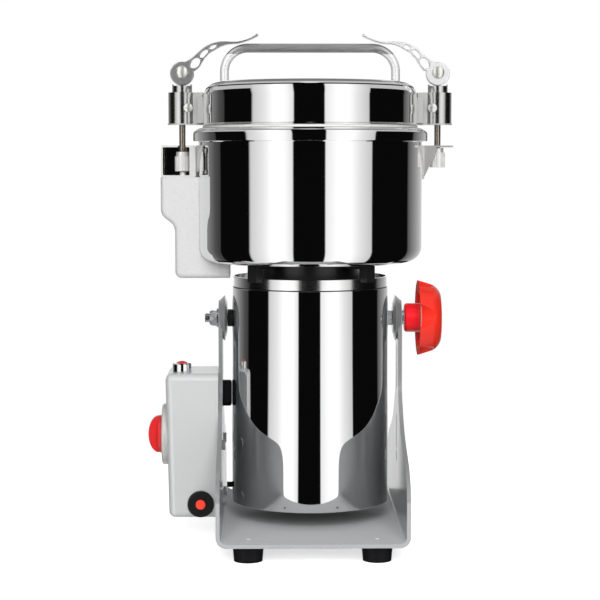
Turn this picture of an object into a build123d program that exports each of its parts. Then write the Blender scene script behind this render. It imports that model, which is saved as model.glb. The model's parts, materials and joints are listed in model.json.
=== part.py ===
from build123d import *
import os
from math import cos, radians, sin, sqrt

os.makedirs("parts", exist_ok=True)

# Swing-type high-speed grinding mill, about 1000 g class.
# Millimetres. +X is the lock knob's side, -Y the front, +Z up.
# The origin is on the floor under the middle of the whole mill, and AXIS_X is the motor's axis.

# Clearances
SEAT = 0.05         # radial, a fixed piece in its seat
RUN = 0.06          # radial, a shaft, rod or pin that turns or slides
GAP = 0.3           # between pieces of different bodies that pass each other
CUT = 1.0           # how far a cut runs past the face that it opens

# Feet and base bracket, one bent sheet
FOOT_R = 13.5
FOOT_H = 14.8
FOOT_X = 55.0
FOOT_Y = 106.0
SHEET = 3.5
BASE_HALF_DEPTH = 128.0
BEND_R = 9.0
SHOULDER_RISE = 28.0        # plate to the start of the arm's S-curve
WAIST_RISE = 116.0          # plate to the narrow waist
WAIST_HALF = 16.0
BOSS_R = 20.7
BOSS_FACE_R = 13.0
BOSS_RIM_R = 15.5
BOSS_PROUD = 4.2            # how far the pivot boss stands in from the arm

# Motor tube
TUBE_R = 70.5
TUBE_WALL = 1.5
TUBE_H = 194.3
TUBE_LIFT = 15.1            # plate to tube
PIVOT_RISE = 165.0          # tube's lower edge to the pivot
ARM_GAP = 8.2               # tube to arm
RING_STEP = 0.9             # ring inside the tube's face
RING_WALL = 1.5
RING_H = 9.0
RING_FLOOR = 2.5

# Neck casting between motor and bowl
NECK_H = 12.6               # ring to bowl
NECK_PLATE = 4.0
NECK_HUB_R = 45.0
LEGS = 4
LEG_W = 11.0
LEG_PROUD = 1.7             # legs beyond the ring
LEG_DEPTH = 8.5
LEG_NOTCH = 2.9
BEARING_R = 16.0
BEARING_W = 10.0
SHAFT_R = 6.0

# Grinding bowl
BOWL_R = 100.8
BOWL_WALL = 1.5
BOWL_CORNER = 14.0
BOWL_WALL_H = 107.4         # bottom to the rim's underside
RIM_R = BOWL_R + 4.9
RIM_BAND = 6.5
RIM_H = 12.0
RIM_TOP_R = RIM_R - 8.2
MOUTH_R = BOWL_R - 10.8
MOUTH_T = 3.0

# Lid and handle
LID_R = BOWL_R - 5.0
LID_WALL = 1.5
LID_CORNER = 13.0
LID_H = 38.9
FLANGE_T = 1.6
FLANGE_R = LID_R + 1.4
GASKET_T = 1.7
HANDLE_R = 4.0
HANDLE_HALF_SPAN = LID_R - 15.3
HANDLE_H = 34.4
HANDLE_BEND = 21.0

# Draw clamps
CLAMP_X = BOWL_R + 13.5      # rod axis from the mill's axis
ROD_R = 2.85
BARREL_R = 12.5
BARREL_H = 28.8
BARREL_RISE = 0.9           # lid's flange to the barrel
COLLAR_R = 9.0
COLLAR_H = 7.2
GROOVE_DEPTH = 1.2
GROOVE_HALF = 7.5
CAM_R = 10.5
CAM_OFFSET = 1.2            # pin above the cam's centre
LEVER_T = 10.0
EYE_T = 5.8
EYE_R = 6.0
PIN_R = 3.0
PIN_HEAD_R = 5.2
NUT_R = 6.8
NUT_H = 17.3
LATCH_DROP = 17.0           # bowl rim's top to the latch plates
LATCH_T = 1.6
SHELF_REACH = 13.1          # right shelf beyond the rod's axis

# Control box on the left arm
BOX_TOP_W = 45.0
BOX_FOOT_W = 42.0
BOX_HALF_DEPTH = 34.0
BOX_Z = 22.1
BOX_H = 129.1
BOX_WALL = 2.5
BOX_ROUND = 6.0
BACK_T = 2.0
DIAL_RISE = 70.9
DIAL_R = 27.5
DIAL_BOSS = 2.6
DIAL_PROUD = 0.65           # dial's seat beyond the wall behind its centre
DIAL_T = 4.9
TIMER_R = 17.4
TIMER_PROUD = 13.0
TIMER_STEM_R = 3.0

# Lock knob
STUD_R = 4.0
KNOB_GAP = 2.8
HUB_R = 13.0
HUB_L = 12.4
KNOB_R = 33.85
KNOB_L = 21.1
KNOB_LOBES = 5
KNOB_WALL = 2.6

# Grinding blades
BLADE_R = BOWL_R - 8.8
BLADE_W = 26.0
BLADE_T = 2.5
BLADE_RISE = 16.0           # how far the upper blade's tips stand up

# Places worked out from the sizes above
PLATE_TOP = FOOT_H + SHEET
TUBE_Z = PLATE_TOP + TUBE_LIFT
TUBE_TOP = TUBE_Z + TUBE_H
PIVOT_Z = TUBE_Z + PIVOT_RISE
ARM_IN = TUBE_R + ARM_GAP
ARM_OUT = ARM_IN + SHEET
BOSS_IN = ARM_IN - BOSS_PROUD
RING_R = TUBE_R - RING_STEP
LEG_R = RING_R + LEG_PROUD
RING_TOP = TUBE_TOP + RING_H
BOWL_Z = RING_TOP + NECK_H
BOWL_FLOOR = BOWL_Z + BOWL_WALL
RIM_Z = BOWL_Z + BOWL_WALL_H
BOWL_TOP = RIM_Z + RIM_H
GASKET_Z = BOWL_TOP + GAP
FLANGE_Z = GASKET_Z + GASKET_T
LID_TOP = FLANGE_Z + LID_H
HANDLE_TOP = LID_TOP + HANDLE_H
BARREL_Z = FLANGE_Z + BARREL_RISE
COLLAR_Z = BARREL_Z + BARREL_H
COLLAR_TOP = COLLAR_Z + COLLAR_H
CAM_Z = COLLAR_TOP - GROOVE_DEPTH + GAP + CAM_R
PIN_Z = CAM_Z + CAM_OFFSET
LATCH_Z = BOWL_TOP - LATCH_DROP
BOX_X = ARM_OUT + BACK_T
BOX_TOP = BOX_Z + BOX_H
DIAL_Z = BOX_Z + DIAL_RISE
DIAL_WALL = BOX_FOOT_W + (BOX_TOP_W - BOX_FOOT_W) * DIAL_RISE / BOX_H
DIAL_FACE = BOX_X + DIAL_WALL + DIAL_PROUD
DIAL_OUT = DIAL_FACE + DIAL_T
TIMER_TIP = DIAL_OUT + TIMER_PROUD
KNOB_X = ARM_OUT + KNOB_GAP
KNOB_HEAD_X = KNOB_X + HUB_L
KNOB_TIP = KNOB_HEAD_X + KNOB_L
SHELF_TIP = CLAMP_X + SHELF_REACH
AXIS_X = (TIMER_TIP - max(KNOB_TIP, SHELF_TIP)) / 2

# Planes and axes of the mill
MILL_XY = Plane((AXIS_X, 0, 0))
MILL_XZ = Plane((AXIS_X, 0, 0), x_dir=(1, 0, 0), z_dir=(0, -1, 0))
MILL_YZ = Plane((AXIS_X, 0, 0), x_dir=(0, 1, 0), z_dir=(1, 0, 0))
PIVOT_YZ = Plane((AXIS_X, 0, PIVOT_Z), x_dir=(0, 1, 0), z_dir=(1, 0, 0))
MILL_AXIS = Axis((AXIS_X, 0, 0), (0, 0, 1))
PIVOT_AXIS = Axis((AXIS_X, 0, PIVOT_Z), (1, 0, 0))
SIDES = {"left": -1, "right": 1}


def ring_plane(z):
    """Horizontal plane at height z, centred on the mill's axis."""
    return MILL_XY.offset(z)


def pivot_plane(x):
    """Plane square to the pivot, x from the mill's axis."""
    return PIVOT_YZ.offset(x)


def finish(piece, name):
    """Label a finished piece and write it."""
    piece.part.label = name
    export_step(piece.part, f"parts/{name}.step")


# Base bracket: a sheet bent into a U, with arms that narrow to the pivot bosses
ARM_TOP = PIVOT_Z + WAIST_HALF
SHOULDER_Z = PLATE_TOP + SHOULDER_RISE
WAIST_Z = PLATE_TOP + WAIST_RISE
NECK_DROP = 19.0            # waist down to the inner end of the S-curve
NECK_HALF_W = 33.0
NECK_Z = WAIST_Z - NECK_DROP
CURVE_W = BASE_HALF_DEPTH - NECK_HALF_W
CURVE_H = NECK_Z - SHOULDER_Z
NECK_W = NECK_HALF_W - WAIST_HALF
NECK_CURVE_H = 33.0
BOSS_LEAD = 2.2
SLOT_W = 5.0
SLOT_DEPTH = 1.4
UPPER_SLOT_DROP = 25.0
LOWER_SLOT_RISE = 61.0
LOWER_SLOT_L = 31.0
UPPER_SLOT = (WAIST_Z, PIVOT_Z - UPPER_SLOT_DROP)
LOWER_SLOT = (PLATE_TOP + LOWER_SLOT_RISE, PLATE_TOP + LOWER_SLOT_RISE + LOWER_SLOT_L)
EYELET_RISE = 54.0
EYELET_Z = PLATE_TOP + EYELET_RISE
EYELET_R = 3.0
EYELET_L = 10.0
FOOT_SCREW_R = 2.5
BOX_SCREW_R = 2.0
BOX_SCREW_Y = 22.0
BOX_SCREW_LOW = 14.0
BOX_SCREW_STEP = 50.0
BOX_SCREW_Z = (BOX_Z + BOX_SCREW_LOW, BOX_Z + BOX_SCREW_LOW + BOX_SCREW_STEP)
BOX_SCREWS = [(y, z) for y in (-BOX_SCREW_Y, BOX_SCREW_Y) for z in BOX_SCREW_Z]
LEAD_DROP = 4.0             # waist down to the motor lead
LEAD_Z = WAIST_Z - LEAD_DROP
LEAD_HOLE_R = 5.0

with BuildPart() as base_frame:
    with BuildSketch(MILL_XZ) as bent_sheet:
        with Locations((0, (FOOT_H + ARM_TOP) / 2)):
            Rectangle(2 * ARM_OUT, ARM_TOP - FOOT_H)
        with Locations((0, (PLATE_TOP + ARM_TOP) / 2)):
            Rectangle(2 * ARM_IN, ARM_TOP - PLATE_TOP, mode=Mode.SUBTRACT)
        fillet(bent_sheet.vertices().group_by(Axis.Y)[1], BEND_R - SHEET)
        fillet(bent_sheet.vertices().group_by(Axis.Y)[0], BEND_R)
    extrude(amount=BASE_HALF_DEPTH, both=True)
    with BuildSketch(MILL_YZ):
        with BuildLine():
            foot_line = Line((0, FOOT_H), (BASE_HALF_DEPTH, FOOT_H))
            front_edge = Line(foot_line @ 1, (BASE_HALF_DEPTH, SHOULDER_Z))
            s_curve = Bezier(
                front_edge @ 1,
                (BASE_HALF_DEPTH, SHOULDER_Z + 0.64 * CURVE_H),
                (NECK_HALF_W + 0.38 * CURVE_W, NECK_Z - 0.53 * CURVE_H),
                (NECK_HALF_W, NECK_Z),
            )
            neck_curve = Bezier(
                s_curve @ 1,
                (NECK_HALF_W - 0.6 * NECK_W, NECK_Z + 0.36 * NECK_CURVE_H),
                (WAIST_HALF, NECK_Z + 0.4 * NECK_CURVE_H),
                (WAIST_HALF, NECK_Z + NECK_CURVE_H),
            )
            waist = Line(neck_curve @ 1, (WAIST_HALF, PIVOT_Z))
            ThreePointArc(
                waist @ 1,
                (WAIST_HALF * sin(radians(45)), PIVOT_Z + WAIST_HALF * cos(radians(45))),
                (0, ARM_TOP),
            )
            mirror(about=Plane.YZ)
        make_face()
    extrude(amount=ARM_OUT + CUT, both=True, mode=Mode.INTERSECT)
    with BuildSketch(MILL_XZ):
        with BuildLine():
            Polyline(
                (BOSS_IN, PIVOT_Z),
                (BOSS_IN, PIVOT_Z + BOSS_FACE_R),
                (BOSS_IN + BOSS_LEAD, PIVOT_Z + BOSS_R),
                (ARM_OUT, PIVOT_Z + BOSS_RIM_R),
                (ARM_OUT, PIVOT_Z),
                close=True,
            )
        make_face()
        mirror(about=Plane.YZ)
    revolve(axis=PIVOT_AXIS)
    with BuildSketch(pivot_plane(-ARM_OUT - CUT)):
        Circle(STUD_R + RUN)
    extrude(amount=2 * (ARM_OUT + CUT), mode=Mode.SUBTRACT)
    for side in SIDES.values():
        slot_start = side * ARM_IN - (SLOT_DEPTH if side < 0 else 0)
        for low, high in (UPPER_SLOT, LOWER_SLOT):
            with BuildSketch(MILL_YZ.offset(slot_start)):
                with Locations((0, (low + high) / 2)):
                    SlotOverall(high - low, SLOT_W, rotation=90)
            extrude(amount=SLOT_DEPTH, mode=Mode.SUBTRACT)
        with BuildSketch(MILL_YZ.offset(side * (ARM_IN + SHEET / 2))):
            with Locations((0, EYELET_Z)):
                SlotOverall(EYELET_L, 2 * EYELET_R, rotation=90)
        extrude(amount=SHEET, both=True, mode=Mode.SUBTRACT)
    with BuildSketch(MILL_YZ.offset(-ARM_OUT - CUT)):
        with Locations((0, LEAD_Z)):
            Circle(LEAD_HOLE_R)
        with Locations(*BOX_SCREWS):
            Circle(BOX_SCREW_R + SEAT)
    extrude(amount=SHEET + 2 * CUT, mode=Mode.SUBTRACT)
    with BuildSketch(ring_plane(FOOT_H)):
        with GridLocations(2 * FOOT_X, 2 * FOOT_Y, 2, 2):
            Circle(FOOT_SCREW_R + SEAT)
    extrude(amount=SHEET, mode=Mode.SUBTRACT)
finish(base_frame, "base_frame")

# Rubber feet, narrower at the floor, each with a recess for its screw
FOOT_RECESS_R = 6.0
FOOT_RECESS = 6.0
FOOT_TAPER = 5.0
with BuildPart() as rubber_feet:
    with BuildSketch(ring_plane(FOOT_H)):
        with GridLocations(2 * FOOT_X, 2 * FOOT_Y, 2, 2):
            Circle(FOOT_R)
    extrude(amount=-FOOT_H, taper=FOOT_TAPER)
    with BuildSketch(ring_plane(0)):
        with GridLocations(2 * FOOT_X, 2 * FOOT_Y, 2, 2):
            Circle(FOOT_RECESS_R)
    extrude(amount=FOOT_RECESS, mode=Mode.SUBTRACT)
    with BuildSketch(ring_plane(FOOT_RECESS)):
        with GridLocations(2 * FOOT_X, 2 * FOOT_Y, 2, 2):
            Circle(FOOT_SCREW_R + SEAT)
    extrude(amount=FOOT_H, mode=Mode.SUBTRACT)
finish(rubber_feet, "rubber_feet")

# Screws of the stand: four up through the feet, four from the left arm into the box
SCREW_HEAD_R = 4.5
SCREW_HEAD_T = 2.5
SCREW_END = 1.0             # how far a foot screw stands above the plate
with BuildPart() as stand_screws:
    with BuildSketch(ring_plane(FOOT_RECESS)):
        with GridLocations(2 * FOOT_X, 2 * FOOT_Y, 2, 2):
            Circle(FOOT_SCREW_R)
    extrude(amount=PLATE_TOP + SCREW_END - FOOT_RECESS)
    with BuildSketch(ring_plane(FOOT_RECESS)):
        with GridLocations(2 * FOOT_X, 2 * FOOT_Y, 2, 2):
            Circle(SCREW_HEAD_R)
    extrude(amount=-SCREW_HEAD_T)
    with BuildSketch(MILL_YZ.offset(-ARM_IN)):
        with Locations(*BOX_SCREWS):
            Circle(SCREW_HEAD_R)
    extrude(amount=SCREW_HEAD_T)
    with BuildSketch(MILL_YZ.offset(-ARM_IN)):
        with Locations(*BOX_SCREWS):
            Circle(BOX_SCREW_R)
    extrude(amount=-(SHEET + BACK_T))
finish(stand_screws, "stand_screws")

# Control box: a moulded shell, open to the arm, with a flat back plate
LAMP_OUT = 30.8             # arm's side of the box to the lamp
LAMP_X = BOX_X + LAMP_OUT
LAMP_Y = -13.0
LAMP_R = 8.5
LAMP_H = 8.0
LAMP_HOLE_R = 6.0
RESET_OUT = 13.8
RESET_RISE = 12.9
RESET_X = BOX_X + RESET_OUT
RESET_Z = BOX_Z + RESET_RISE
RESET_R = 11.8
RESET_NECK_R = 8.0
DIAL_NECK_R = 12.0
GLAND_OUT = 18.8
GLAND_RISE = 20.0
GLAND_X = BOX_X + GLAND_OUT
GLAND_Z = BOX_Z + GLAND_RISE
GLAND_NECK_R = 7.0
with BuildPart() as control_box_shell:
    with BuildSketch(MILL_XZ):
        with BuildLine():
            Polyline(
                (-BOX_X, BOX_Z),
                (-BOX_X - BOX_FOOT_W, BOX_Z),
                (-BOX_X - BOX_TOP_W, BOX_TOP),
                (-BOX_X, BOX_TOP),
                close=True,
            )
        make_face()
    extrude(amount=BOX_HALF_DEPTH, both=True)
    open_side = control_box_shell.faces().sort_by(Axis.X)[-1]
    outer_edges = control_box_shell.edges() - open_side.edges()
    fillet(outer_edges, BOX_ROUND)
    open_side = control_box_shell.faces().sort_by(Axis.X)[-1]
    offset(amount=-BOX_WALL, openings=open_side)
    with BuildSketch(MILL_YZ.offset(-DIAL_FACE)):
        with Locations((0, DIAL_Z)):
            Circle(DIAL_R)
    extrude(amount=DIAL_BOSS + BOX_WALL)
    with BuildSketch(MILL_YZ.offset(-DIAL_FACE)):
        with Locations((0, DIAL_Z)):
            Circle(DIAL_NECK_R)
    extrude(amount=DIAL_BOSS + 2 * BOX_WALL + 2 * CUT, mode=Mode.SUBTRACT)
    with BuildSketch(ring_plane(BOX_TOP + CUT)):
        with Locations((-LAMP_X, LAMP_Y)):
            Circle(LAMP_HOLE_R)
    extrude(amount=-BOX_WALL - 2 * CUT, mode=Mode.SUBTRACT)
    with BuildSketch(MILL_XZ.offset(BOX_HALF_DEPTH + CUT)):
        with Locations((-RESET_X, RESET_Z)):
            Circle(RESET_NECK_R)
    extrude(amount=-BOX_WALL - 2 * CUT, mode=Mode.SUBTRACT)
    with BuildSketch(MILL_XZ.offset(-BOX_HALF_DEPTH - CUT)):
        with Locations((-GLAND_X, GLAND_Z)):
            Circle(GLAND_NECK_R)
    extrude(amount=BOX_WALL + 2 * CUT, mode=Mode.SUBTRACT)
finish(control_box_shell, "control_box_shell")

with BuildPart() as control_box_back:
    with BuildSketch(MILL_YZ.offset(-BOX_X)):
        with Locations((0, BOX_Z + BOX_H / 2)):
            RectangleRounded(2 * BOX_HALF_DEPTH, BOX_H, BOX_ROUND)
        with Locations(*BOX_SCREWS):
            Circle(BOX_SCREW_R + SEAT, mode=Mode.SUBTRACT)
        with Locations((0, LEAD_Z)):
            Circle(LEAD_HOLE_R, mode=Mode.SUBTRACT)
    extrude(amount=BACK_T)
finish(control_box_back, "control_box_back")

# Timer: dial flange outside the box, clockwork block inside it
BLOCK_W = 46.0
BLOCK_D = 22.0
BLOCK_ROUND = 4.0
BLOCK_BACK = 1.5            # box wall to the block
BLOCK_X = DIAL_FACE - DIAL_BOSS - BOX_WALL - BLOCK_BACK
DIAL_ROUND = 2.0
DIAL_RECESS = 1.2
DIAL_RECESS_GAP = 1.0
with BuildPart() as dial_plate:
    with BuildSketch(MILL_YZ.offset(-DIAL_FACE)):
        with Locations((0, DIAL_Z)):
            Circle(DIAL_R)
    extrude(amount=-DIAL_T)
    fillet(dial_plate.faces().sort_by(Axis.X)[0].edges(), DIAL_ROUND)
    with BuildSketch(MILL_YZ.offset(-DIAL_OUT)):
        with Locations((0, DIAL_Z)):
            Circle(TIMER_R + DIAL_RECESS_GAP)
    extrude(amount=DIAL_RECESS, mode=Mode.SUBTRACT)
    with BuildSketch(MILL_YZ.offset(-DIAL_FACE)):
        with Locations((0, DIAL_Z)):
            Circle(DIAL_NECK_R - SEAT)
    extrude(amount=DIAL_FACE - BLOCK_X)
    with BuildSketch(MILL_YZ.offset(-DIAL_OUT)):
        with Locations((0, DIAL_Z)):
            Circle(TIMER_STEM_R + GAP)
    extrude(amount=DIAL_OUT - BLOCK_X, mode=Mode.SUBTRACT)
finish(dial_plate, "dial_plate")

STEM_DEPTH = 9.0
with BuildPart() as timer_mechanism:
    with BuildSketch(MILL_YZ.offset(-BLOCK_X)):
        with Locations((0, DIAL_Z)):
            RectangleRounded(BLOCK_W, BLOCK_W, BLOCK_ROUND)
    extrude(amount=BLOCK_D)
    with BuildSketch(MILL_YZ.offset(-BLOCK_X)):
        with Locations((0, DIAL_Z)):
            Circle(TIMER_STEM_R + RUN)
    extrude(amount=STEM_DEPTH + CUT, mode=Mode.SUBTRACT)
finish(timer_mechanism, "timer_mechanism")

GRIP_HALF = 4.5
TIMER_BASE = 3.5
TIMER_SKIRT = 0.6           # how deep the knob's rim sits in the dial's recess
TIMER_DRAFT = 0.6
TIMER_BACK = DIAL_OUT - TIMER_SKIRT
with BuildPart() as timer_knob:
    with BuildSketch(MILL_XZ):
        with BuildLine():
            rim_line = Line((-TIMER_BACK, DIAL_Z), (-TIMER_BACK, DIAL_Z + TIMER_R))
            Line(rim_line @ 1, (-DIAL_OUT - TIMER_BASE, DIAL_Z + TIMER_R - TIMER_DRAFT))
            EllipticalCenterArc(
                (-DIAL_OUT - TIMER_BASE, DIAL_Z),
                TIMER_PROUD - TIMER_BASE,
                TIMER_R - TIMER_DRAFT,
                start_angle=90,
                arc_size=90,
            )
            Line((-TIMER_TIP, DIAL_Z), rim_line @ 0)
        make_face()
    revolve(axis=Axis((AXIS_X, 0, DIAL_Z), (1, 0, 0)))
    with BuildSketch(ring_plane(DIAL_Z)):
        with Locations((-TIMER_TIP, GRIP_HALF + TIMER_R), (-TIMER_TIP, -GRIP_HALF - TIMER_R)):
            Rectangle(2 * (TIMER_PROUD - TIMER_BASE), 2 * TIMER_R)
    extrude(amount=TIMER_R + CUT, both=True, mode=Mode.SUBTRACT)
    with BuildSketch(MILL_YZ.offset(-TIMER_BACK)):
        with Locations((0, DIAL_Z)):
            Circle(TIMER_STEM_R)
    extrude(amount=TIMER_BACK - BLOCK_X + STEM_DEPTH)
finish(timer_knob, "timer_knob")

# Indicator lamp on the box's top
LENS_R = 5.25
LENS_RISE = 1.8
BEZEL_BACK = BOX_WALL + 2.0
BEZEL_CHAMFER = 1.0
LENS_DOME_R = (LENS_R**2 + LENS_RISE**2) / (2 * LENS_RISE)
LAMP_XZ = Plane((AXIS_X - LAMP_X, LAMP_Y, BOX_TOP), x_dir=(1, 0, 0), z_dir=(0, -1, 0))
LAMP_AXIS = Axis((AXIS_X - LAMP_X, LAMP_Y, BOX_TOP), (0, 0, 1))
with BuildPart() as indicator_bezel:
    with BuildSketch(LAMP_XZ):
        with BuildLine():
            Polyline(
                (LENS_R + SEAT, -BEZEL_BACK),
                (LAMP_HOLE_R - SEAT, -BEZEL_BACK),
                (LAMP_HOLE_R - SEAT, 0),
                (LAMP_R, 0),
                (LAMP_R, LAMP_H - BEZEL_CHAMFER),
                (LAMP_R - BEZEL_CHAMFER, LAMP_H),
                (LENS_R + SEAT, LAMP_H),
                close=True,
            )
        make_face()
    revolve(axis=LAMP_AXIS)
finish(indicator_bezel, "indicator_bezel")

with BuildPart() as indicator_lens:
    with BuildSketch(LAMP_XZ):
        with BuildLine():
            lens_foot = Line((0, -BOX_WALL), (LENS_R, -BOX_WALL))
            lens_side = Line(lens_foot @ 1, (LENS_R, LAMP_H))
            lens_dome = RadiusArc(lens_side @ 1, (0, LAMP_H + LENS_RISE), -LENS_DOME_R)
            Line(lens_dome @ 1, lens_foot @ 0)
        make_face()
    revolve(axis=LAMP_AXIS)
finish(indicator_lens, "indicator_lens")

# Overload reset: collar, neck and breaker block in one moulding, and its push button
RESET_PROUD = 3.2
RESET_ROUND = 1.2
RESET_NECK_L = BOX_WALL + 1.0
BUTTON_R = 4.4
BUTTON_ROUND = 1.0
BUTTON_PROUD = 2.4
BUTTON_TRAVEL = 2.0
BUTTON_BACK = 12.0
BREAKER_W = 20.0
BREAKER_H = 16.0
BREAKER_D = 30.0
RESET_XY = Plane(
    (AXIS_X - RESET_X, -BOX_HALF_DEPTH, RESET_Z), x_dir=(1, 0, 0), z_dir=(0, -1, 0)
)
with BuildPart() as reset_breaker:
    with BuildSketch(RESET_XY):
        Circle(RESET_R)
    extrude(amount=RESET_PROUD)
    fillet(reset_breaker.faces().sort_by(Axis.Y)[0].edges(), RESET_ROUND)
    with BuildSketch(RESET_XY):
        Circle(RESET_NECK_R - SEAT)
    extrude(amount=-RESET_NECK_L)
    with BuildSketch(RESET_XY.offset(-RESET_NECK_L)):
        Rectangle(BREAKER_W, BREAKER_H)
    extrude(amount=-BREAKER_D)
    with BuildSketch(RESET_XY.offset(RESET_PROUD)):
        Circle(BUTTON_R + RUN)
    extrude(amount=-RESET_PROUD - BUTTON_BACK - BUTTON_TRAVEL - CUT, mode=Mode.SUBTRACT)
finish(reset_breaker, "reset_breaker")

with BuildPart() as reset_button:
    with BuildSketch(RESET_XY.offset(-BUTTON_BACK)):
        Circle(BUTTON_R)
    extrude(amount=BUTTON_BACK + RESET_PROUD + BUTTON_PROUD)
    fillet(reset_button.faces().sort_by(Axis.Y)[0].edges(), BUTTON_ROUND)
finish(reset_button, "reset_button")

# Cable gland on the box's rear wall
GLAND_HEX_R = 10.0
GLAND_NUT_L = 6.0
GLAND_NOSE_R = 8.2
GLAND_NOSE_L = 9.0
GLAND_NOSE_TAPER = 18.0
GLAND_BORE_R = 3.5
GLAND_NECK_L = BOX_WALL + 3.0
GLAND_XZ = Plane(
    (AXIS_X - GLAND_X, BOX_HALF_DEPTH, GLAND_Z), x_dir=(-1, 0, 0), z_dir=(0, 1, 0)
)
with BuildPart() as mains_gland:
    with BuildSketch(GLAND_XZ):
        RegularPolygon(GLAND_HEX_R, 6)
    extrude(amount=GLAND_NUT_L)
    with BuildSketch(GLAND_XZ.offset(GLAND_NUT_L)):
        Circle(GLAND_NOSE_R)
    extrude(amount=GLAND_NOSE_L, taper=GLAND_NOSE_TAPER)
    with BuildSketch(GLAND_XZ):
        Circle(GLAND_NECK_R - SEAT)
    extrude(amount=-GLAND_NECK_L)
    with BuildSketch(GLAND_XZ.offset(GLAND_NUT_L + GLAND_NOSE_L)):
        Circle(GLAND_BORE_R)
    extrude(amount=-GLAND_NUT_L - GLAND_NOSE_L - GLAND_NECK_L, mode=Mode.SUBTRACT)
finish(mains_gland, "mains_gland")

# Rubber lead grommet between the left arm and the tube
GROMMET_H = 23.0
GROMMET_W = 15.0
GROMMET_CORNER = 5.0
GROMMET_ROUND = 2.0
GROMMET_NECK_L = SHEET + BACK_T + 2.0
with BuildPart() as lead_grommet:
    with BuildSketch(MILL_YZ.offset(-ARM_IN)):
        with Locations((0, LEAD_Z)):
            RectangleRounded(GROMMET_W, GROMMET_H, GROMMET_CORNER)
    extrude(amount=ARM_GAP - GAP)
    fillet(lead_grommet.faces().sort_by(Axis.X)[-1].edges(), GROMMET_ROUND)
    with BuildSketch(MILL_YZ.offset(-ARM_IN)):
        with Locations((0, LEAD_Z)):
            Circle(LEAD_HOLE_R - SEAT)
    extrude(amount=-GROMMET_NECK_L)
finish(lead_grommet, "lead_grommet")

# Lock knob: five lobes with scalloped flutes, hollow behind, on a threaded stud
FLUTE_R = 13.0
FLUTE_DEPTH = 7.6
FLUTE_LEAN = 11.6
FLUTE_START = 173.0         # degrees from the rear towards the top
FLUTE_PLACE_R = KNOB_R - FLUTE_DEPTH + FLUTE_R
KNOB_ROUND = 10.0
KNOB_FACE_R = 30.4
DOME_R = 22.5
DOME_RISE = 1.2
DOME_ARC_R = (DOME_R**2 + DOME_RISE**2) / (2 * DOME_RISE)
HOLLOW_DEPTH = 11.0
HUB_ROUND = 2.5
STUD_SEAT = 6.0             # how far the stud goes into the knob's head
STUD_COLLAR_R = 6.5
STUD_IN = 4.0               # how far the stud's end stands inside the tube's face
STUD_END_X = TUBE_R - STUD_IN
with BuildPart() as lock_knob:
    with BuildSketch(MILL_XZ):
        with BuildLine():
            back_line = Line((KNOB_HEAD_X, PIVOT_Z), (KNOB_HEAD_X, PIVOT_Z + KNOB_R))
            rim_side = Line(back_line @ 1, (KNOB_TIP - KNOB_ROUND, PIVOT_Z + KNOB_FACE_R))
            knob_round = TangentArc(
                rim_side @ 1, (KNOB_TIP - DOME_RISE, PIVOT_Z + DOME_R), tangent=rim_side % 1
            )
            knob_dome = RadiusArc(knob_round @ 1, (KNOB_TIP, PIVOT_Z), DOME_ARC_R)
            Line(knob_dome @ 1, back_line @ 0)
        make_face()
    revolve(axis=PIVOT_AXIS)
    for lobe in range(KNOB_LOBES):
        turn = radians(FLUTE_START + 360 / KNOB_LOBES * lobe)
        lean = sin(radians(FLUTE_LEAN))
        flute_plane = Plane(
            (
                AXIS_X + KNOB_HEAD_X - CUT,
                FLUTE_PLACE_R * cos(turn),
                PIVOT_Z + FLUTE_PLACE_R * sin(turn),
            ),
            z_dir=(1, lean * cos(turn), lean * sin(turn)),
        )
        with BuildSketch(flute_plane):
            Circle(FLUTE_R)
        extrude(amount=KNOB_L + 4 * CUT, mode=Mode.SUBTRACT)
    with BuildSketch(pivot_plane(KNOB_HEAD_X)):
        Circle(KNOB_FACE_R - KNOB_WALL)
        with PolarLocations(FLUTE_PLACE_R, KNOB_LOBES, start_angle=FLUTE_START):
            Circle(FLUTE_R + KNOB_WALL, mode=Mode.SUBTRACT)
        Circle(HUB_R, mode=Mode.SUBTRACT)
    extrude(amount=HOLLOW_DEPTH, mode=Mode.SUBTRACT)
    with BuildSketch(pivot_plane(KNOB_HEAD_X + CUT)):
        Circle(HUB_R)
    extrude(amount=-HUB_L - CUT)
    fillet(lock_knob.faces().sort_by(Axis.X)[0].edges(), HUB_ROUND)
    with BuildSketch(pivot_plane(KNOB_X)):
        Circle(STUD_R + SEAT)
    extrude(amount=HUB_L + STUD_SEAT, mode=Mode.SUBTRACT)
finish(lock_knob, "lock_knob")

with BuildPart() as lock_stud:
    with BuildSketch(pivot_plane(STUD_END_X)):
        Circle(STUD_R)
    extrude(amount=KNOB_X + HUB_L + STUD_SEAT - STUD_END_X)
    with BuildSketch(pivot_plane(KNOB_X)):
        Circle(STUD_COLLAR_R)
    extrude(amount=-(KNOB_GAP - GAP))
finish(lock_stud, "lock_stud")

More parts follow.
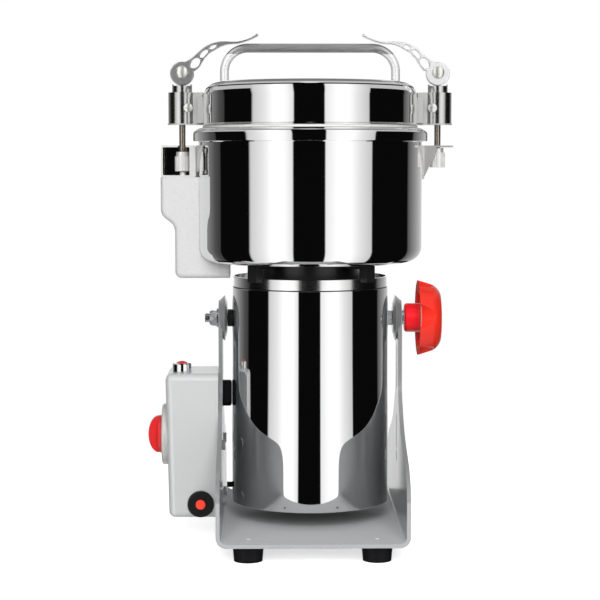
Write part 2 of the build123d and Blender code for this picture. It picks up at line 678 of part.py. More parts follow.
# Pivot hardware that rides with the tube
PIVOT_NUT_R = 8.5
PIVOT_NUT_L = 8.0
PIVOT_WASHER_T = 1.6
PIVOT_HEX_R = 7.9
NUT_SHOULDER = 3.0
NUT_CHAMFER = 2.6
STUD_PROUD = 4.2            # stud beyond its nut
STUD_CHAMFER = 0.6
PIVOT_NUT_X = ARM_OUT + GAP
PIVOT_STUD_TIP = PIVOT_NUT_X + PIVOT_NUT_L + STUD_PROUD
SPACER_R = 7.8
TUBE_NUT_R = 7.5
TUBE_NUT_L = 5.0
TUBE_NUT_GAP = 1.0          # tube's inner face to the nut
TUBE_NUT_X = TUBE_R - TUBE_WALL - TUBE_NUT_GAP
with BuildPart() as left_pivot_stud:
    with BuildSketch(pivot_plane(-PIVOT_STUD_TIP)):
        Circle(STUD_R)
    extrude(amount=PIVOT_STUD_TIP - TUBE_NUT_X)
    with BuildSketch(pivot_plane(-TUBE_NUT_X)):
        RegularPolygon(TUBE_NUT_R, 6)
    extrude(amount=TUBE_NUT_L)
    chamfer(left_pivot_stud.faces().sort_by(Axis.X)[0].edges(), STUD_CHAMFER)
finish(left_pivot_stud, "left_pivot_stud")

with BuildPart() as left_pivot_nut:
    with BuildSketch(pivot_plane(-PIVOT_NUT_X)):
        Circle(PIVOT_NUT_R)
    extrude(amount=-PIVOT_WASHER_T)
    with BuildSketch(pivot_plane(-PIVOT_NUT_X - PIVOT_WASHER_T)):
        RegularPolygon(PIVOT_HEX_R, 6)
    extrude(amount=PIVOT_WASHER_T - PIVOT_NUT_L)
    with BuildSketch(MILL_XZ):
        with BuildLine():
            Polyline(
                (-PIVOT_NUT_X, PIVOT_Z),
                (-PIVOT_NUT_X, PIVOT_Z + PIVOT_NUT_R),
                (-PIVOT_NUT_X - NUT_SHOULDER, PIVOT_Z + PIVOT_NUT_R),
                (-PIVOT_NUT_X - PIVOT_NUT_L, PIVOT_Z + PIVOT_NUT_R - NUT_CHAMFER),
                (-PIVOT_NUT_X - PIVOT_NUT_L, PIVOT_Z),
                close=True,
            )
        make_face()
    revolve(axis=PIVOT_AXIS, mode=Mode.INTERSECT)
    with BuildSketch(pivot_plane(-ARM_OUT)):
        Circle(STUD_R + SEAT)
    extrude(amount=-GAP - PIVOT_NUT_L - CUT, mode=Mode.SUBTRACT)
finish(left_pivot_nut, "left_pivot_nut")

with BuildPart() as motor_tube_envelope:
    with BuildSketch(ring_plane(TUBE_Z)):
        Circle(TUBE_R)
    extrude(amount=TUBE_H)

with BuildPart() as left_pivot_spacer:
    with BuildSketch(pivot_plane(-BOSS_IN + GAP)):
        Circle(SPACER_R)
        Circle(STUD_R + SEAT, mode=Mode.SUBTRACT)
    extrude(amount=SPACER_R)
    add(motor_tube_envelope.part, mode=Mode.SUBTRACT)
finish(left_pivot_spacer, "left_pivot_spacer")

with BuildPart() as right_pivot_nut:
    with BuildSketch(pivot_plane(BOSS_IN - GAP)):
        RegularPolygon(TUBE_NUT_R, 6)
        Circle(STUD_R + RUN, mode=Mode.SUBTRACT)
    extrude(amount=-SPACER_R)
    add(motor_tube_envelope.part, mode=Mode.SUBTRACT)
finish(right_pivot_nut, "right_pivot_nut")

# Motor tube, its flanged top cup and its vented bottom cap
STUD_HOLE_R = STUD_R + RUN
BUFFER_RISE = 13.0
BUFFER_Z = TUBE_Z + BUFFER_RISE
BUFFER_R = 2.5
BUFFER_STEM_R = 1.5
BUFFER_CLEAR = 3.3          # buffer's face to the arm
BUFFER_X = ARM_IN - BUFFER_CLEAR
BUFFER_STEM_END = 1.0       # stem beyond the tube's inner face
BUFFER_STEM_IN = TUBE_R - TUBE_WALL - BUFFER_STEM_END
CAP_RECESS = 2.0
CAP_T = 3.0
CAP_RIM = 4.0
CAP_RIM_T = 2.0
CAP_R = TUBE_R - TUBE_WALL - SEAT
BEARING_WALL = 4.0
VENTS = 10
VENT_W = 7.0
VENT_IN = 33.0
VENT_OUT = CAP_R - 10.0
POST_W = 14.0
POST_D = 8.0
POST_H = 24.0
POST_Y = 37.0
POST_ROUND = 2.0
SPIGOT_WALL = 3.0
SPIGOT_H = 5.0
NOTCH_D = 8.0
with BuildPart() as motor_tube:
    with BuildSketch(ring_plane(TUBE_Z)):
        Circle(TUBE_R)
        Circle(TUBE_R - TUBE_WALL, mode=Mode.SUBTRACT)
    extrude(amount=TUBE_H)
    with BuildSketch(pivot_plane(-TUBE_R - CUT)):
        Circle(STUD_HOLE_R)
    extrude(amount=2 * (TUBE_R + CUT), mode=Mode.SUBTRACT)
    with BuildSketch(MILL_YZ.offset(-TUBE_R - CUT)):
        with Locations((0, BUFFER_Z)):
            Circle(BUFFER_STEM_R + SEAT)
    extrude(amount=TUBE_WALL + 2 * CUT, mode=Mode.SUBTRACT)
finish(motor_tube, "motor_tube")

with BuildPart() as rubber_buffer:
    with BuildSketch(MILL_YZ.offset(-BUFFER_X)):
        with Locations((0, BUFFER_Z)):
            Circle(BUFFER_R)
    extrude(amount=TUBE_R)
    add(motor_tube_envelope.part, mode=Mode.SUBTRACT)
    with BuildSketch(MILL_YZ.offset(-BUFFER_X)):
        with Locations((0, BUFFER_Z)):
            Circle(BUFFER_STEM_R)
    extrude(amount=BUFFER_X - BUFFER_STEM_IN)
finish(rubber_buffer, "rubber_buffer")

with BuildPart() as motor_top_cup:
    with BuildSketch(ring_plane(TUBE_TOP)):
        Circle(RING_R)
    extrude(amount=RING_H)
    with BuildSketch(ring_plane(TUBE_TOP + RING_FLOOR)):
        Circle(RING_R - RING_WALL)
    extrude(amount=RING_H, mode=Mode.SUBTRACT)
    with BuildSketch(ring_plane(TUBE_TOP)):
        Circle(CAP_R)
        Circle(CAP_R - SPIGOT_WALL, mode=Mode.SUBTRACT)
    extrude(amount=-SPIGOT_H)
    with BuildSketch(ring_plane(TUBE_TOP)):
        Circle(BEARING_R + BEARING_WALL)
    extrude(amount=RING_FLOOR, mode=Mode.SUBTRACT)
    with BuildSketch(ring_plane(RING_TOP - LEG_NOTCH)):
        with PolarLocations(RING_R, LEGS, start_angle=45):
            Rectangle(NOTCH_D, LEG_W + 2 * SEAT)
    extrude(amount=LEG_NOTCH + CUT, mode=Mode.SUBTRACT)
finish(motor_top_cup, "motor_top_cup")

LOWER_BEARING_Z = TUBE_Z + CAP_RECESS + CAP_T
with BuildPart() as motor_bottom_cap:
    with BuildSketch(ring_plane(TUBE_Z + CAP_RECESS)):
        Circle(CAP_R)
        with PolarLocations((VENT_IN + VENT_OUT) / 2, VENTS):
            SlotOverall(VENT_OUT - VENT_IN, VENT_W, mode=Mode.SUBTRACT)
    extrude(amount=CAP_T)
    with BuildSketch(ring_plane(LOWER_BEARING_Z)):
        Circle(CAP_R)
        Circle(CAP_R - CAP_RIM_T, mode=Mode.SUBTRACT)
    extrude(amount=CAP_RIM)
    with BuildSketch(ring_plane(LOWER_BEARING_Z)):
        Circle(BEARING_R + BEARING_WALL)
        Circle(BEARING_R + SEAT, mode=Mode.SUBTRACT)
    extrude(amount=BEARING_W)
    with BuildSketch(ring_plane(LOWER_BEARING_Z)):
        with Locations((0, POST_Y), (0, -POST_Y)):
            RectangleRounded(POST_W, POST_D, POST_ROUND)
    extrude(amount=POST_H)
finish(motor_bottom_cap, "motor_bottom_cap")

# Neck casting: hub with the upper bearing, and four legs down to the motor's cup
UPPER_BEARING_Z = RING_TOP + NECK_H - NECK_PLATE - BEARING_W
HUB_WALL = 5.0
SHAFT_OPENING_R = SHAFT_R + 4.0
LEG_BASE = 2.0              # how far a leg's root runs into the hub
BOWL_BOLT_R = 3.0
BOWL_BOLT_HEX_R = 5.5
BOWL_BOLT_HEAD = 3.2
BOWL_BOLT_PLACE = 55.0
with BuildPart() as neck_spacer:
    with BuildSketch(ring_plane(TUBE_TOP + RING_FLOOR)):
        Circle(NECK_HUB_R)
        Circle(NECK_HUB_R - HUB_WALL, mode=Mode.SUBTRACT)
    extrude(amount=BOWL_Z - TUBE_TOP - RING_FLOOR)
    with BuildSketch(ring_plane(UPPER_BEARING_Z)):
        Circle(BEARING_R + HUB_WALL)
        Circle(BEARING_R + SEAT, mode=Mode.SUBTRACT)
    extrude(amount=BEARING_W)
    with BuildSketch(ring_plane(BOWL_Z - NECK_PLATE)):
        Circle(NECK_HUB_R)
        with PolarLocations((NECK_HUB_R + LEG_R) / 2, LEGS, start_angle=45):
            Rectangle(LEG_R - NECK_HUB_R + 2 * LEG_BASE, LEG_W)
        Circle(SHAFT_OPENING_R, mode=Mode.SUBTRACT)
    extrude(amount=NECK_PLATE)
    with BuildSketch(ring_plane(RING_TOP - LEG_NOTCH)):
        with PolarLocations(LEG_R + LEG_BASE - LEG_DEPTH / 2, LEGS, start_angle=45):
            Rectangle(LEG_DEPTH, LEG_W)
    extrude(amount=BOWL_Z - RING_TOP + LEG_NOTCH)
    with BuildSketch(ring_plane(BOWL_Z - NECK_PLATE)):
        with PolarLocations(BOWL_BOLT_PLACE, LEGS, start_angle=45):
            Circle(BOWL_BOLT_R + SEAT)
    extrude(amount=NECK_PLATE, mode=Mode.SUBTRACT)
finish(neck_spacer, "neck_spacer")

with BuildPart() as bowl_bolts:
    with BuildSketch(ring_plane(BOWL_Z - NECK_PLATE)):
        with PolarLocations(BOWL_BOLT_PLACE, LEGS, start_angle=45):
            Circle(BOWL_BOLT_R)
    extrude(amount=NECK_PLATE + BOWL_WALL)
    with BuildSketch(ring_plane(BOWL_FLOOR)):
        with PolarLocations(BOWL_BOLT_PLACE, LEGS, start_angle=45):
            RegularPolygon(BOWL_BOLT_HEX_R, 6)
    extrude(amount=BOWL_BOLT_HEAD)
finish(bowl_bolts, "bowl_bolts")

with BuildPart() as shaft_bearings:
    with BuildSketch(ring_plane(LOWER_BEARING_Z), ring_plane(UPPER_BEARING_Z)):
        Circle(BEARING_R)
        Circle(SHAFT_R + RUN, mode=Mode.SUBTRACT)
    extrude(amount=BEARING_W)
finish(shaft_bearings, "shaft_bearings")

# Motor field: laminated core and the windings at its two ends
CORE_RISE = 58.0
CORE_Z = TUBE_Z + CORE_RISE
CORE_H = 78.0
CORE_BORE_R = 31.0
CORE_SQUARE = 2 * CAP_R - 18.0
CORE_CORNER = 8.0
WINDING_H = 12.0
WINDING_LONG = 50.0
WINDING_SHORT = 44.0
WINDING_GAP = 3.0
with BuildPart() as stator_core:
    with BuildSketch(ring_plane(CORE_Z)):
        Circle(CAP_R)
        RectangleRounded(CORE_SQUARE, CORE_SQUARE, CORE_CORNER, mode=Mode.INTERSECT)
        Circle(CORE_BORE_R, mode=Mode.SUBTRACT)
    extrude(amount=CORE_H)
finish(stator_core, "stator_core")

with BuildPart() as stator_windings:
    with BuildSketch(ring_plane(CORE_Z + CORE_H), ring_plane(CORE_Z - WINDING_H)):
        Ellipse(WINDING_LONG, WINDING_SHORT)
        Circle(CORE_BORE_R + WINDING_GAP, mode=Mode.SUBTRACT)
    extrude(amount=WINDING_H)
finish(stator_windings, "stator_windings")

# Brush gear on the bottom cap's posts: two holders with their carbon brushes
COMMUTATOR_R = 16.0
COMMUTATOR_DROP = 2.0       # brush holders' foot to the commutator's
COMMUTATOR_Z = LOWER_BEARING_Z + POST_H - COMMUTATOR_DROP
COMMUTATOR_H = 16.0
HOLDER_W = 14.0
HOLDER_L = 22.0
HOLDER_H = 11.0
HOLDER_Z = LOWER_BEARING_Z + POST_H
HOLDER_Y = POST_Y - 3.0
BRUSH_W = 6.0
BRUSH_L = 8.0
BRUSH_H = 7.0
BRUSH_Z = HOLDER_Z + (HOLDER_H - BRUSH_H) / 2
BRUSH_Y = COMMUTATOR_R + GAP + BRUSH_L / 2
with BuildPart() as brush_gear:
    for front in (-1, 1):
        with BuildSketch(ring_plane(HOLDER_Z)):
            with Locations((0, front * HOLDER_Y)):
                Rectangle(HOLDER_W, HOLDER_L)
        extrude(amount=HOLDER_H)
        with BuildSketch(ring_plane(BRUSH_Z)):
            with Locations((0, front * BRUSH_Y)):
                Rectangle(BRUSH_W, BRUSH_L)
        extrude(amount=BRUSH_H)
finish(brush_gear, "brush_gear")

# Rotor: shaft, armature, commutator and cooling fan
SHAFT_LIFT = 0.5            # cap's floor to the shaft's end
SHAFT_FOOT = LOWER_BEARING_Z + SHAFT_LIFT
SEAL_H = 3.0
SEAL_R = 14.0
STACK_GAP = 0.5             # seal to the blade stack
STACK_Z = BOWL_FLOOR + SEAL_H + STACK_GAP
LOWER_SPACER_H = 5.0
LOWER_BLADE_Z = STACK_Z + LOWER_SPACER_H
SPACER_H = 12.5
SPACER_COLLAR_R = 11.0
UPPER_BLADE_Z = LOWER_BLADE_Z + BLADE_T + SPACER_H
NUT_Z = UPPER_BLADE_Z + BLADE_T
BLADE_NUT_H = 11.0
BLADE_NUT_R = 11.0
BLADE_WASHER_R = 13.0
BLADE_WASHER_T = 2.0
BLADE_NUT_CHAMFER = 0.8
SHAFT_END = 3.0             # shaft beyond the nut
SHAFT_CHAMFER = 1.0
SHAFT_TIP = NUT_Z + BLADE_NUT_H + SHAFT_END
with BuildPart() as rotor_shaft:
    with BuildSketch(ring_plane(SHAFT_FOOT)):
        Circle(SHAFT_R)
    extrude(amount=SHAFT_TIP - SHAFT_FOOT)
    chamfer(rotor_shaft.edges().sort_by(Axis.Z)[-1], SHAFT_CHAMFER)
finish(rotor_shaft, "rotor_shaft")

AIR_GAP = 0.7
ARMATURE_R = CORE_BORE_R - AIR_GAP
ARMATURE_SLOTS = 10
ARMATURE_SLOT_D = 8.0
ARMATURE_SLOT_W = 3.0
with BuildPart() as armature:
    with BuildSketch(ring_plane(CORE_Z)):
        Circle(ARMATURE_R)
        with PolarLocations(ARMATURE_R, ARMATURE_SLOTS):
            Rectangle(ARMATURE_SLOT_D, ARMATURE_SLOT_W, mode=Mode.SUBTRACT)
        Circle(SHAFT_R + SEAT, mode=Mode.SUBTRACT)
    extrude(amount=CORE_H)
finish(armature, "armature")

with BuildPart() as commutator:
    with BuildSketch(ring_plane(COMMUTATOR_Z)):
        Circle(COMMUTATOR_R)
        Circle(SHAFT_R + SEAT, mode=Mode.SUBTRACT)
    extrude(amount=COMMUTATOR_H)
finish(commutator, "commutator")

FAN_RISE = 6.0              # windings to the fan
FAN_Z = CORE_Z + CORE_H + WINDING_H + FAN_RISE
FAN_R = 50.0
FAN_DISC_T = 2.0
FAN_HUB_R = 12.0
FAN_BLADES = 9
FAN_BLADE_L = 36.0
FAN_BLADE_T = 2.0
FAN_BLADE_H = 12.0
FAN_BLADE_R = FAN_R - 19.0
FAN_SWEEP = 18.0
with BuildPart() as cooling_fan:
    with BuildSketch(ring_plane(FAN_Z)):
        Circle(FAN_R)
        Circle(SHAFT_R + SEAT, mode=Mode.SUBTRACT)
    extrude(amount=FAN_DISC_T)
    with BuildSketch(ring_plane(FAN_Z + FAN_DISC_T)):
        Circle(FAN_HUB_R)
        with PolarLocations(FAN_BLADE_R, FAN_BLADES):
            Rectangle(FAN_BLADE_L, FAN_BLADE_T, rotation=FAN_SWEEP)
        Circle(SHAFT_R + SEAT, mode=Mode.SUBTRACT)
    extrude(amount=FAN_BLADE_H)
finish(cooling_fan, "cooling_fan")

with BuildPart() as shaft_seal:
    with BuildSketch(ring_plane(BOWL_Z)):
        Circle(SHAFT_OPENING_R - SEAT)
    extrude(amount=BOWL_WALL)
    with BuildSketch(ring_plane(BOWL_FLOOR)):
        Circle(SEAL_R)
    extrude(amount=SEAL_H)
    with BuildSketch(ring_plane(BOWL_Z)):
        Circle(SHAFT_R + RUN)
    extrude(amount=BOWL_WALL + SEAL_H, mode=Mode.SUBTRACT)
finish(shaft_seal, "shaft_seal")

# Blade stack: two sharpened blades with spacers and a nut on the shaft
BLADE_ROOT = 24.0
BLADE_SWEEP = 8.0           # how far the leading corner lies back from the tip
BLADE_NARROW = 4.0
BLADE_TRAIL = 3.0
BLADE_TIP_HALF = 6.0
LOWER_BLADE_RISE = 2.0


def blade_outline(turn):
    """Plan of a two-ended blade, each end swept back on one side."""
    with BuildSketch(Plane((AXIS_X, 0, 0)).rotated((0, 0, turn))) as outline:
        with BuildLine():
            Polyline(
                (-BLADE_ROOT, -BLADE_W / 2),
                (0, -BLADE_W / 2),
                (BLADE_R - BLADE_SWEEP, BLADE_NARROW - BLADE_W / 2),
                (BLADE_R, 0),
                (BLADE_R - BLADE_TRAIL, BLADE_TIP_HALF),
                (BLADE_ROOT, BLADE_W / 2),
                (0, BLADE_W / 2),
                (BLADE_SWEEP - BLADE_R, BLADE_W / 2 - BLADE_NARROW),
                (-BLADE_R, 0),
                (BLADE_TRAIL - BLADE_R, -BLADE_TIP_HALF),
                close=True,
            )
        make_face()
    return outline.sketch


def bent_profile(z, turn, rise):
    """Side view of a blade whose ends ramp up by rise."""
    side = Plane((AXIS_X, 0, z)).rotated((0, 0, turn))
    side_view = Plane(side.origin, x_dir=side.x_dir, z_dir=-side.y_dir)
    with BuildSketch(side_view) as profile:
        with BuildLine():
            Polyline(
                (-BLADE_R - CUT, rise),
                (-BLADE_ROOT, 0),
                (BLADE_ROOT, 0),
                (BLADE_R + CUT, rise),
                (BLADE_R + CUT, rise + BLADE_T),
                (BLADE_ROOT, BLADE_T),
                (-BLADE_ROOT, BLADE_T),
                (-BLADE_R - CUT, rise + BLADE_T),
                close=True,
            )
        make_face()
    return profile.sketch


UPPER_TURN = 62.0
with BuildPart() as lower_blade:
    extrude(bent_profile(LOWER_BLADE_Z, 0, LOWER_BLADE_RISE), amount=BLADE_W, both=True)
    extrude(blade_outline(0), amount=SHAFT_TIP, mode=Mode.INTERSECT)
    with BuildSketch(ring_plane(LOWER_BLADE_Z - CUT)):
        Circle(SHAFT_R + SEAT)
    extrude(amount=BLADE_T + 2 * CUT, mode=Mode.SUBTRACT)
finish(lower_blade, "lower_blade")

with BuildPart() as upper_blade:
    extrude(bent_profile(UPPER_BLADE_Z, UPPER_TURN, BLADE_RISE), amount=BLADE_W, both=True)
    extrude(blade_outline(UPPER_TURN), amount=SHAFT_TIP + BLADE_RISE, mode=Mode.INTERSECT)
    with BuildSketch(ring_plane(UPPER_BLADE_Z - CUT)):
        Circle(SHAFT_R + SEAT)
    extrude(amount=BLADE_T + 2 * CUT, mode=Mode.SUBTRACT)
finish(upper_blade, "upper_blade")

with BuildPart() as blade_spacers:
    with BuildSketch(ring_plane(STACK_Z)):
        Circle(SPACER_COLLAR_R)
        Circle(SHAFT_R + SEAT, mode=Mode.SUBTRACT)
    extrude(amount=LOWER_SPACER_H)
    with BuildSketch(ring_plane(LOWER_BLADE_Z + BLADE_T)):
        Circle(SPACER_COLLAR_R)
        Circle(SHAFT_R + SEAT, mode=Mode.SUBTRACT)
    extrude(amount=SPACER_H)
finish(blade_spacers, "blade_spacers")

with BuildPart() as blade_nut:
    with BuildSketch(ring_plane(NUT_Z)):
        Circle(BLADE_WASHER_R)
    extrude(amount=BLADE_WASHER_T)
    with BuildSketch(ring_plane(NUT_Z + BLADE_WASHER_T)):
        RegularPolygon(BLADE_NUT_R, 6)
    extrude(amount=BLADE_NUT_H - BLADE_WASHER_T)
    chamfer(blade_nut.faces().sort_by(Axis.Z)[-1].edges(), BLADE_NUT_CHAMFER)
    with BuildSketch(ring_plane(NUT_Z)):
        Circle(SHAFT_R + SEAT)
    extrude(amount=BLADE_NUT_H, mode=Mode.SUBTRACT)
finish(blade_nut, "blade_nut")

# Grinding bowl with its rolled rim
with BuildPart() as bowl_envelope:
    with BuildSketch(MILL_XZ):
        with BuildLine():
            bottom = Line((0, BOWL_Z), (BOWL_R - BOWL_CORNER, BOWL_Z))
            corner = JernArc(bottom @ 1, (1, 0), BOWL_CORNER, 90)
            wall = Line(corner @ 1, (BOWL_R, RIM_Z))
            Polyline(wall @ 1, (0, RIM_Z), (0, BOWL_Z))
        make_face()
    revolve(axis=MILL_AXIS)

RIM_SHOULDER = RIM_R - RIM_TOP_R
MOUTH_SLOPE = 5.0           # drop of the mouth's underside out to the wall
with BuildPart() as bowl:
    with BuildSketch(MILL_XZ):
        with BuildLine():
            floor_line = Line((SHAFT_OPENING_R, BOWL_Z), (BOWL_R - BOWL_CORNER, BOWL_Z))
            outer_corner = JernArc(floor_line @ 1, (1, 0), BOWL_CORNER, 90)
            outer_wall = Line(outer_corner @ 1, (BOWL_R, RIM_Z))
            rim_under = Line(outer_wall @ 1, (RIM_R, RIM_Z))
            rim_side = Line(rim_under @ 1, (RIM_R, RIM_Z + RIM_BAND))
            rim_shoulder = ThreePointArc(
                rim_side @ 1,
                (
                    RIM_TOP_R + RIM_SHOULDER * cos(radians(50)),
                    RIM_Z + RIM_BAND + (RIM_H - RIM_BAND) * sin(radians(50)),
                ),
                (RIM_TOP_R, BOWL_TOP),
            )
            rim_top = Line(rim_shoulder @ 1, (MOUTH_R, BOWL_TOP))
            mouth = Line(rim_top @ 1, (MOUTH_R, BOWL_TOP - MOUTH_T))
            mouth_under = Line(
                mouth @ 1, (BOWL_R - BOWL_WALL, BOWL_TOP - MOUTH_T - MOUTH_SLOPE)
            )
            inner_wall = Line(mouth_under @ 1, (BOWL_R - BOWL_WALL, BOWL_Z + BOWL_CORNER))
            inner_corner = JernArc(
                inner_wall @ 1, (0, -1), BOWL_CORNER - BOWL_WALL, -90
            )
            inner_floor = Line(inner_corner @ 1, (SHAFT_OPENING_R, BOWL_FLOOR))
            Line(inner_floor @ 1, floor_line @ 0)
        make_face()
    revolve(axis=MILL_AXIS)
    with BuildSketch(ring_plane(BOWL_Z)):
        with PolarLocations(BOWL_BOLT_PLACE, LEGS, start_angle=45):
            Circle(BOWL_BOLT_R + SEAT)
    extrude(amount=BOWL_WALL, mode=Mode.SUBTRACT)
finish(bowl, "bowl")

# Latch brackets on the bowl: a saddle plate each, a slotted shelf on the right,
# and a folded housing round the interlock nut on the left
SADDLE_TOP_HALF = 32.0
SADDLE_FOOT_HALF = 8.0
SADDLE_H = 28.5
SADDLE_T = 1.6
SADDLE_LAP = 0.5            # how far a plate runs into the saddle


def saddle(side, foot_z):
    """Tapered plate curved to the bowl's wall, on one side, down to foot_z."""
    with BuildPart() as plate:
        with BuildSketch(MILL_YZ):
            with BuildLine():
                Polyline(
                    (-SADDLE_FOOT_HALF, foot_z),
                    (SADDLE_FOOT_HALF, foot_z),
                    (SADDLE_TOP_HALF, LATCH_Z + LATCH_T),
                    (-SADDLE_TOP_HALF, LATCH_Z + LATCH_T),
                    close=True,
                )
            make_face()
        extrude(amount=side * (BOWL_R + SADDLE_T))
        with BuildSketch(ring_plane(foot_z)):
            Circle(BOWL_R + SADDLE_T)
            Circle(BOWL_R, mode=Mode.SUBTRACT)
        extrude(amount=LATCH_Z + LATCH_T - foot_z, mode=Mode.INTERSECT)
    return plate.part


SHELF_HALF = 11.0
SHELF_IN = BOWL_R + SADDLE_LAP
GUSSET_BACK = 1.8           # gusset's outer edge inside the rod's axis
GUSSET_OUT = CLAMP_X - GUSSET_BACK
GUSSET_STEP = 3.0
SLOT_HALF = ROD_R + 2 * GAP
with BuildPart() as right_latch_bracket:
    add(saddle(1, LATCH_Z - SADDLE_H))
    with BuildSketch(ring_plane(LATCH_Z)):
        with Locations(((SHELF_IN + SHELF_TIP) / 2, 0)):
            Rectangle(SHELF_TIP - SHELF_IN, 2 * SHELF_HALF)
        with Locations((CLAMP_X, 0)):
            Circle(SLOT_HALF, mode=Mode.SUBTRACT)
        with Locations((CLAMP_X, SHELF_HALF)):
            Rectangle(2 * SLOT_HALF, 2 * SHELF_HALF, mode=Mode.SUBTRACT)
    extrude(amount=LATCH_T)
    with BuildSketch(MILL_XZ.offset(SHELF_HALF)):
        with BuildLine():
            Polyline(
                (BOWL_R, LATCH_Z + LATCH_T),
                (GUSSET_OUT, LATCH_Z + LATCH_T),
                (GUSSET_OUT, LATCH_Z - GUSSET_STEP),
                (BOWL_R + SADDLE_T, LATCH_Z - SADDLE_H + GUSSET_STEP),
                (BOWL_R, LATCH_Z - SADDLE_H + GUSSET_STEP),
                close=True,
            )
        make_face()
    extrude(amount=-LATCH_T)
    add(bowl_envelope.part, mode=Mode.SUBTRACT)
finish(right_latch_bracket, "right_latch_bracket")

HOUSING_REACH = 18.4        # housing beyond the rod's axis
HOUSING_OUT = CLAMP_X + HOUSING_REACH
HOUSING_IN = BOWL_R + SADDLE_T - SADDLE_LAP
HOUSING_ROUND = 2.0
FRONT_STRIP_W = 5.6
HOUSING_HALF = 14.0
HOUSING_H = 28.0
HOUSING_Z = LATCH_Z + LATCH_T - HOUSING_H
HOUSING_W = HOUSING_OUT - HOUSING_IN
HOUSING_MID = (HOUSING_OUT + HOUSING_IN) / 2
LOCK_PIN_R = 2.5
with BuildPart() as left_latch_housing:
    add(saddle(-1, HOUSING_Z))
    with BuildSketch(MILL_XZ):
        with Locations((-HOUSING_MID, HOUSING_Z + HOUSING_H / 2)):
            RectangleRounded(HOUSING_W, HOUSING_H, HOUSING_ROUND)
            RectangleRounded(
                HOUSING_W - 2 * LATCH_T,
                HOUSING_H - 2 * LATCH_T,
                HOUSING_ROUND / 2,
                mode=Mode.SUBTRACT,
            )
    extrude(amount=HOUSING_HALF, both=True)
    with BuildSketch(MILL_XZ.offset(HOUSING_HALF)):
        with Locations((-HOUSING_IN - FRONT_STRIP_W / 2, HOUSING_Z + HOUSING_H / 2)):
            Rectangle(FRONT_STRIP_W, HOUSING_H - LATCH_T)
    extrude(amount=-LATCH_T)
    with BuildSketch(MILL_XZ.offset(-HOUSING_HALF)):
        with Locations((-HOUSING_MID, HOUSING_Z + HOUSING_H / 2)):
            Rectangle(HOUSING_W - LATCH_T, HOUSING_H - LATCH_T)
    extrude(amount=LATCH_T)
    with BuildSketch(ring_plane(LATCH_Z - CUT)):
        with Locations((-CLAMP_X, 0)):
            Circle(SLOT_HALF)
        with Locations((-CLAMP_X, -HOUSING_HALF)):
            Rectangle(2 * SLOT_HALF, 2 * HOUSING_HALF)
    extrude(amount=LATCH_T + 2 * CUT, mode=Mode.SUBTRACT)
    with BuildSketch(ring_plane(HOUSING_Z)):
        with Locations((-CLAMP_X, 0)):
            Circle(LOCK_PIN_R + RUN)
    extrude(amount=LATCH_T, mode=Mode.SUBTRACT)
    add(bowl_envelope.part, mode=Mode.SUBTRACT)
finish(left_latch_housing, "left_latch_housing")

# Interlock cover: a hollow casting that hugs the bowl and leads the wires under it
COVER_HALF = 20.0
COVER_WALL = 3.0
COVER_REACH = 18.7          # cover beyond the rod's axis
COVER_STEP = 12.6
COVER_OUT = CLAMP_X + COVER_REACH
COVER_IN = COVER_OUT - COVER_STEP
COVER_LAP = 2.0             # how far the cover runs in past the bowl's corner
COVER_BACK = BOWL_R - BOWL_CORNER - COVER_LAP
COVER_UNDER = 13.8          # bowl's bottom to the cover's foot
COVER_FOOT_Z = BOWL_Z - COVER_UNDER
COVER_FOOT_X = 72.0
COVER_SILL = 1.0            # cover's edge above the bowl's bottom
COVER_TOP = HOUSING_Z
COVER_STEP_Z = COVER_TOP - 26.8
COVER_CURVE_H = 23.0
COVER_BEND = 6.0
COVER_ROUND = 4.0
DUCT_HALF = 8.0
DUCT_IN = COVER_FOOT_X + 8.0
DUCT_BEND = 3.0
PIN_TRAVEL_ROOM = 1.5
PIN_DROP = 12.0             # cover's top to the interlock pin's foot
PIN_FOOT = COVER_TOP - PIN_DROP
SWITCH_TOP = PIN_FOOT - PIN_TRAVEL_ROOM
SWITCH_H = 16.0
POCKET_OUT = COVER_OUT - COVER_WALL
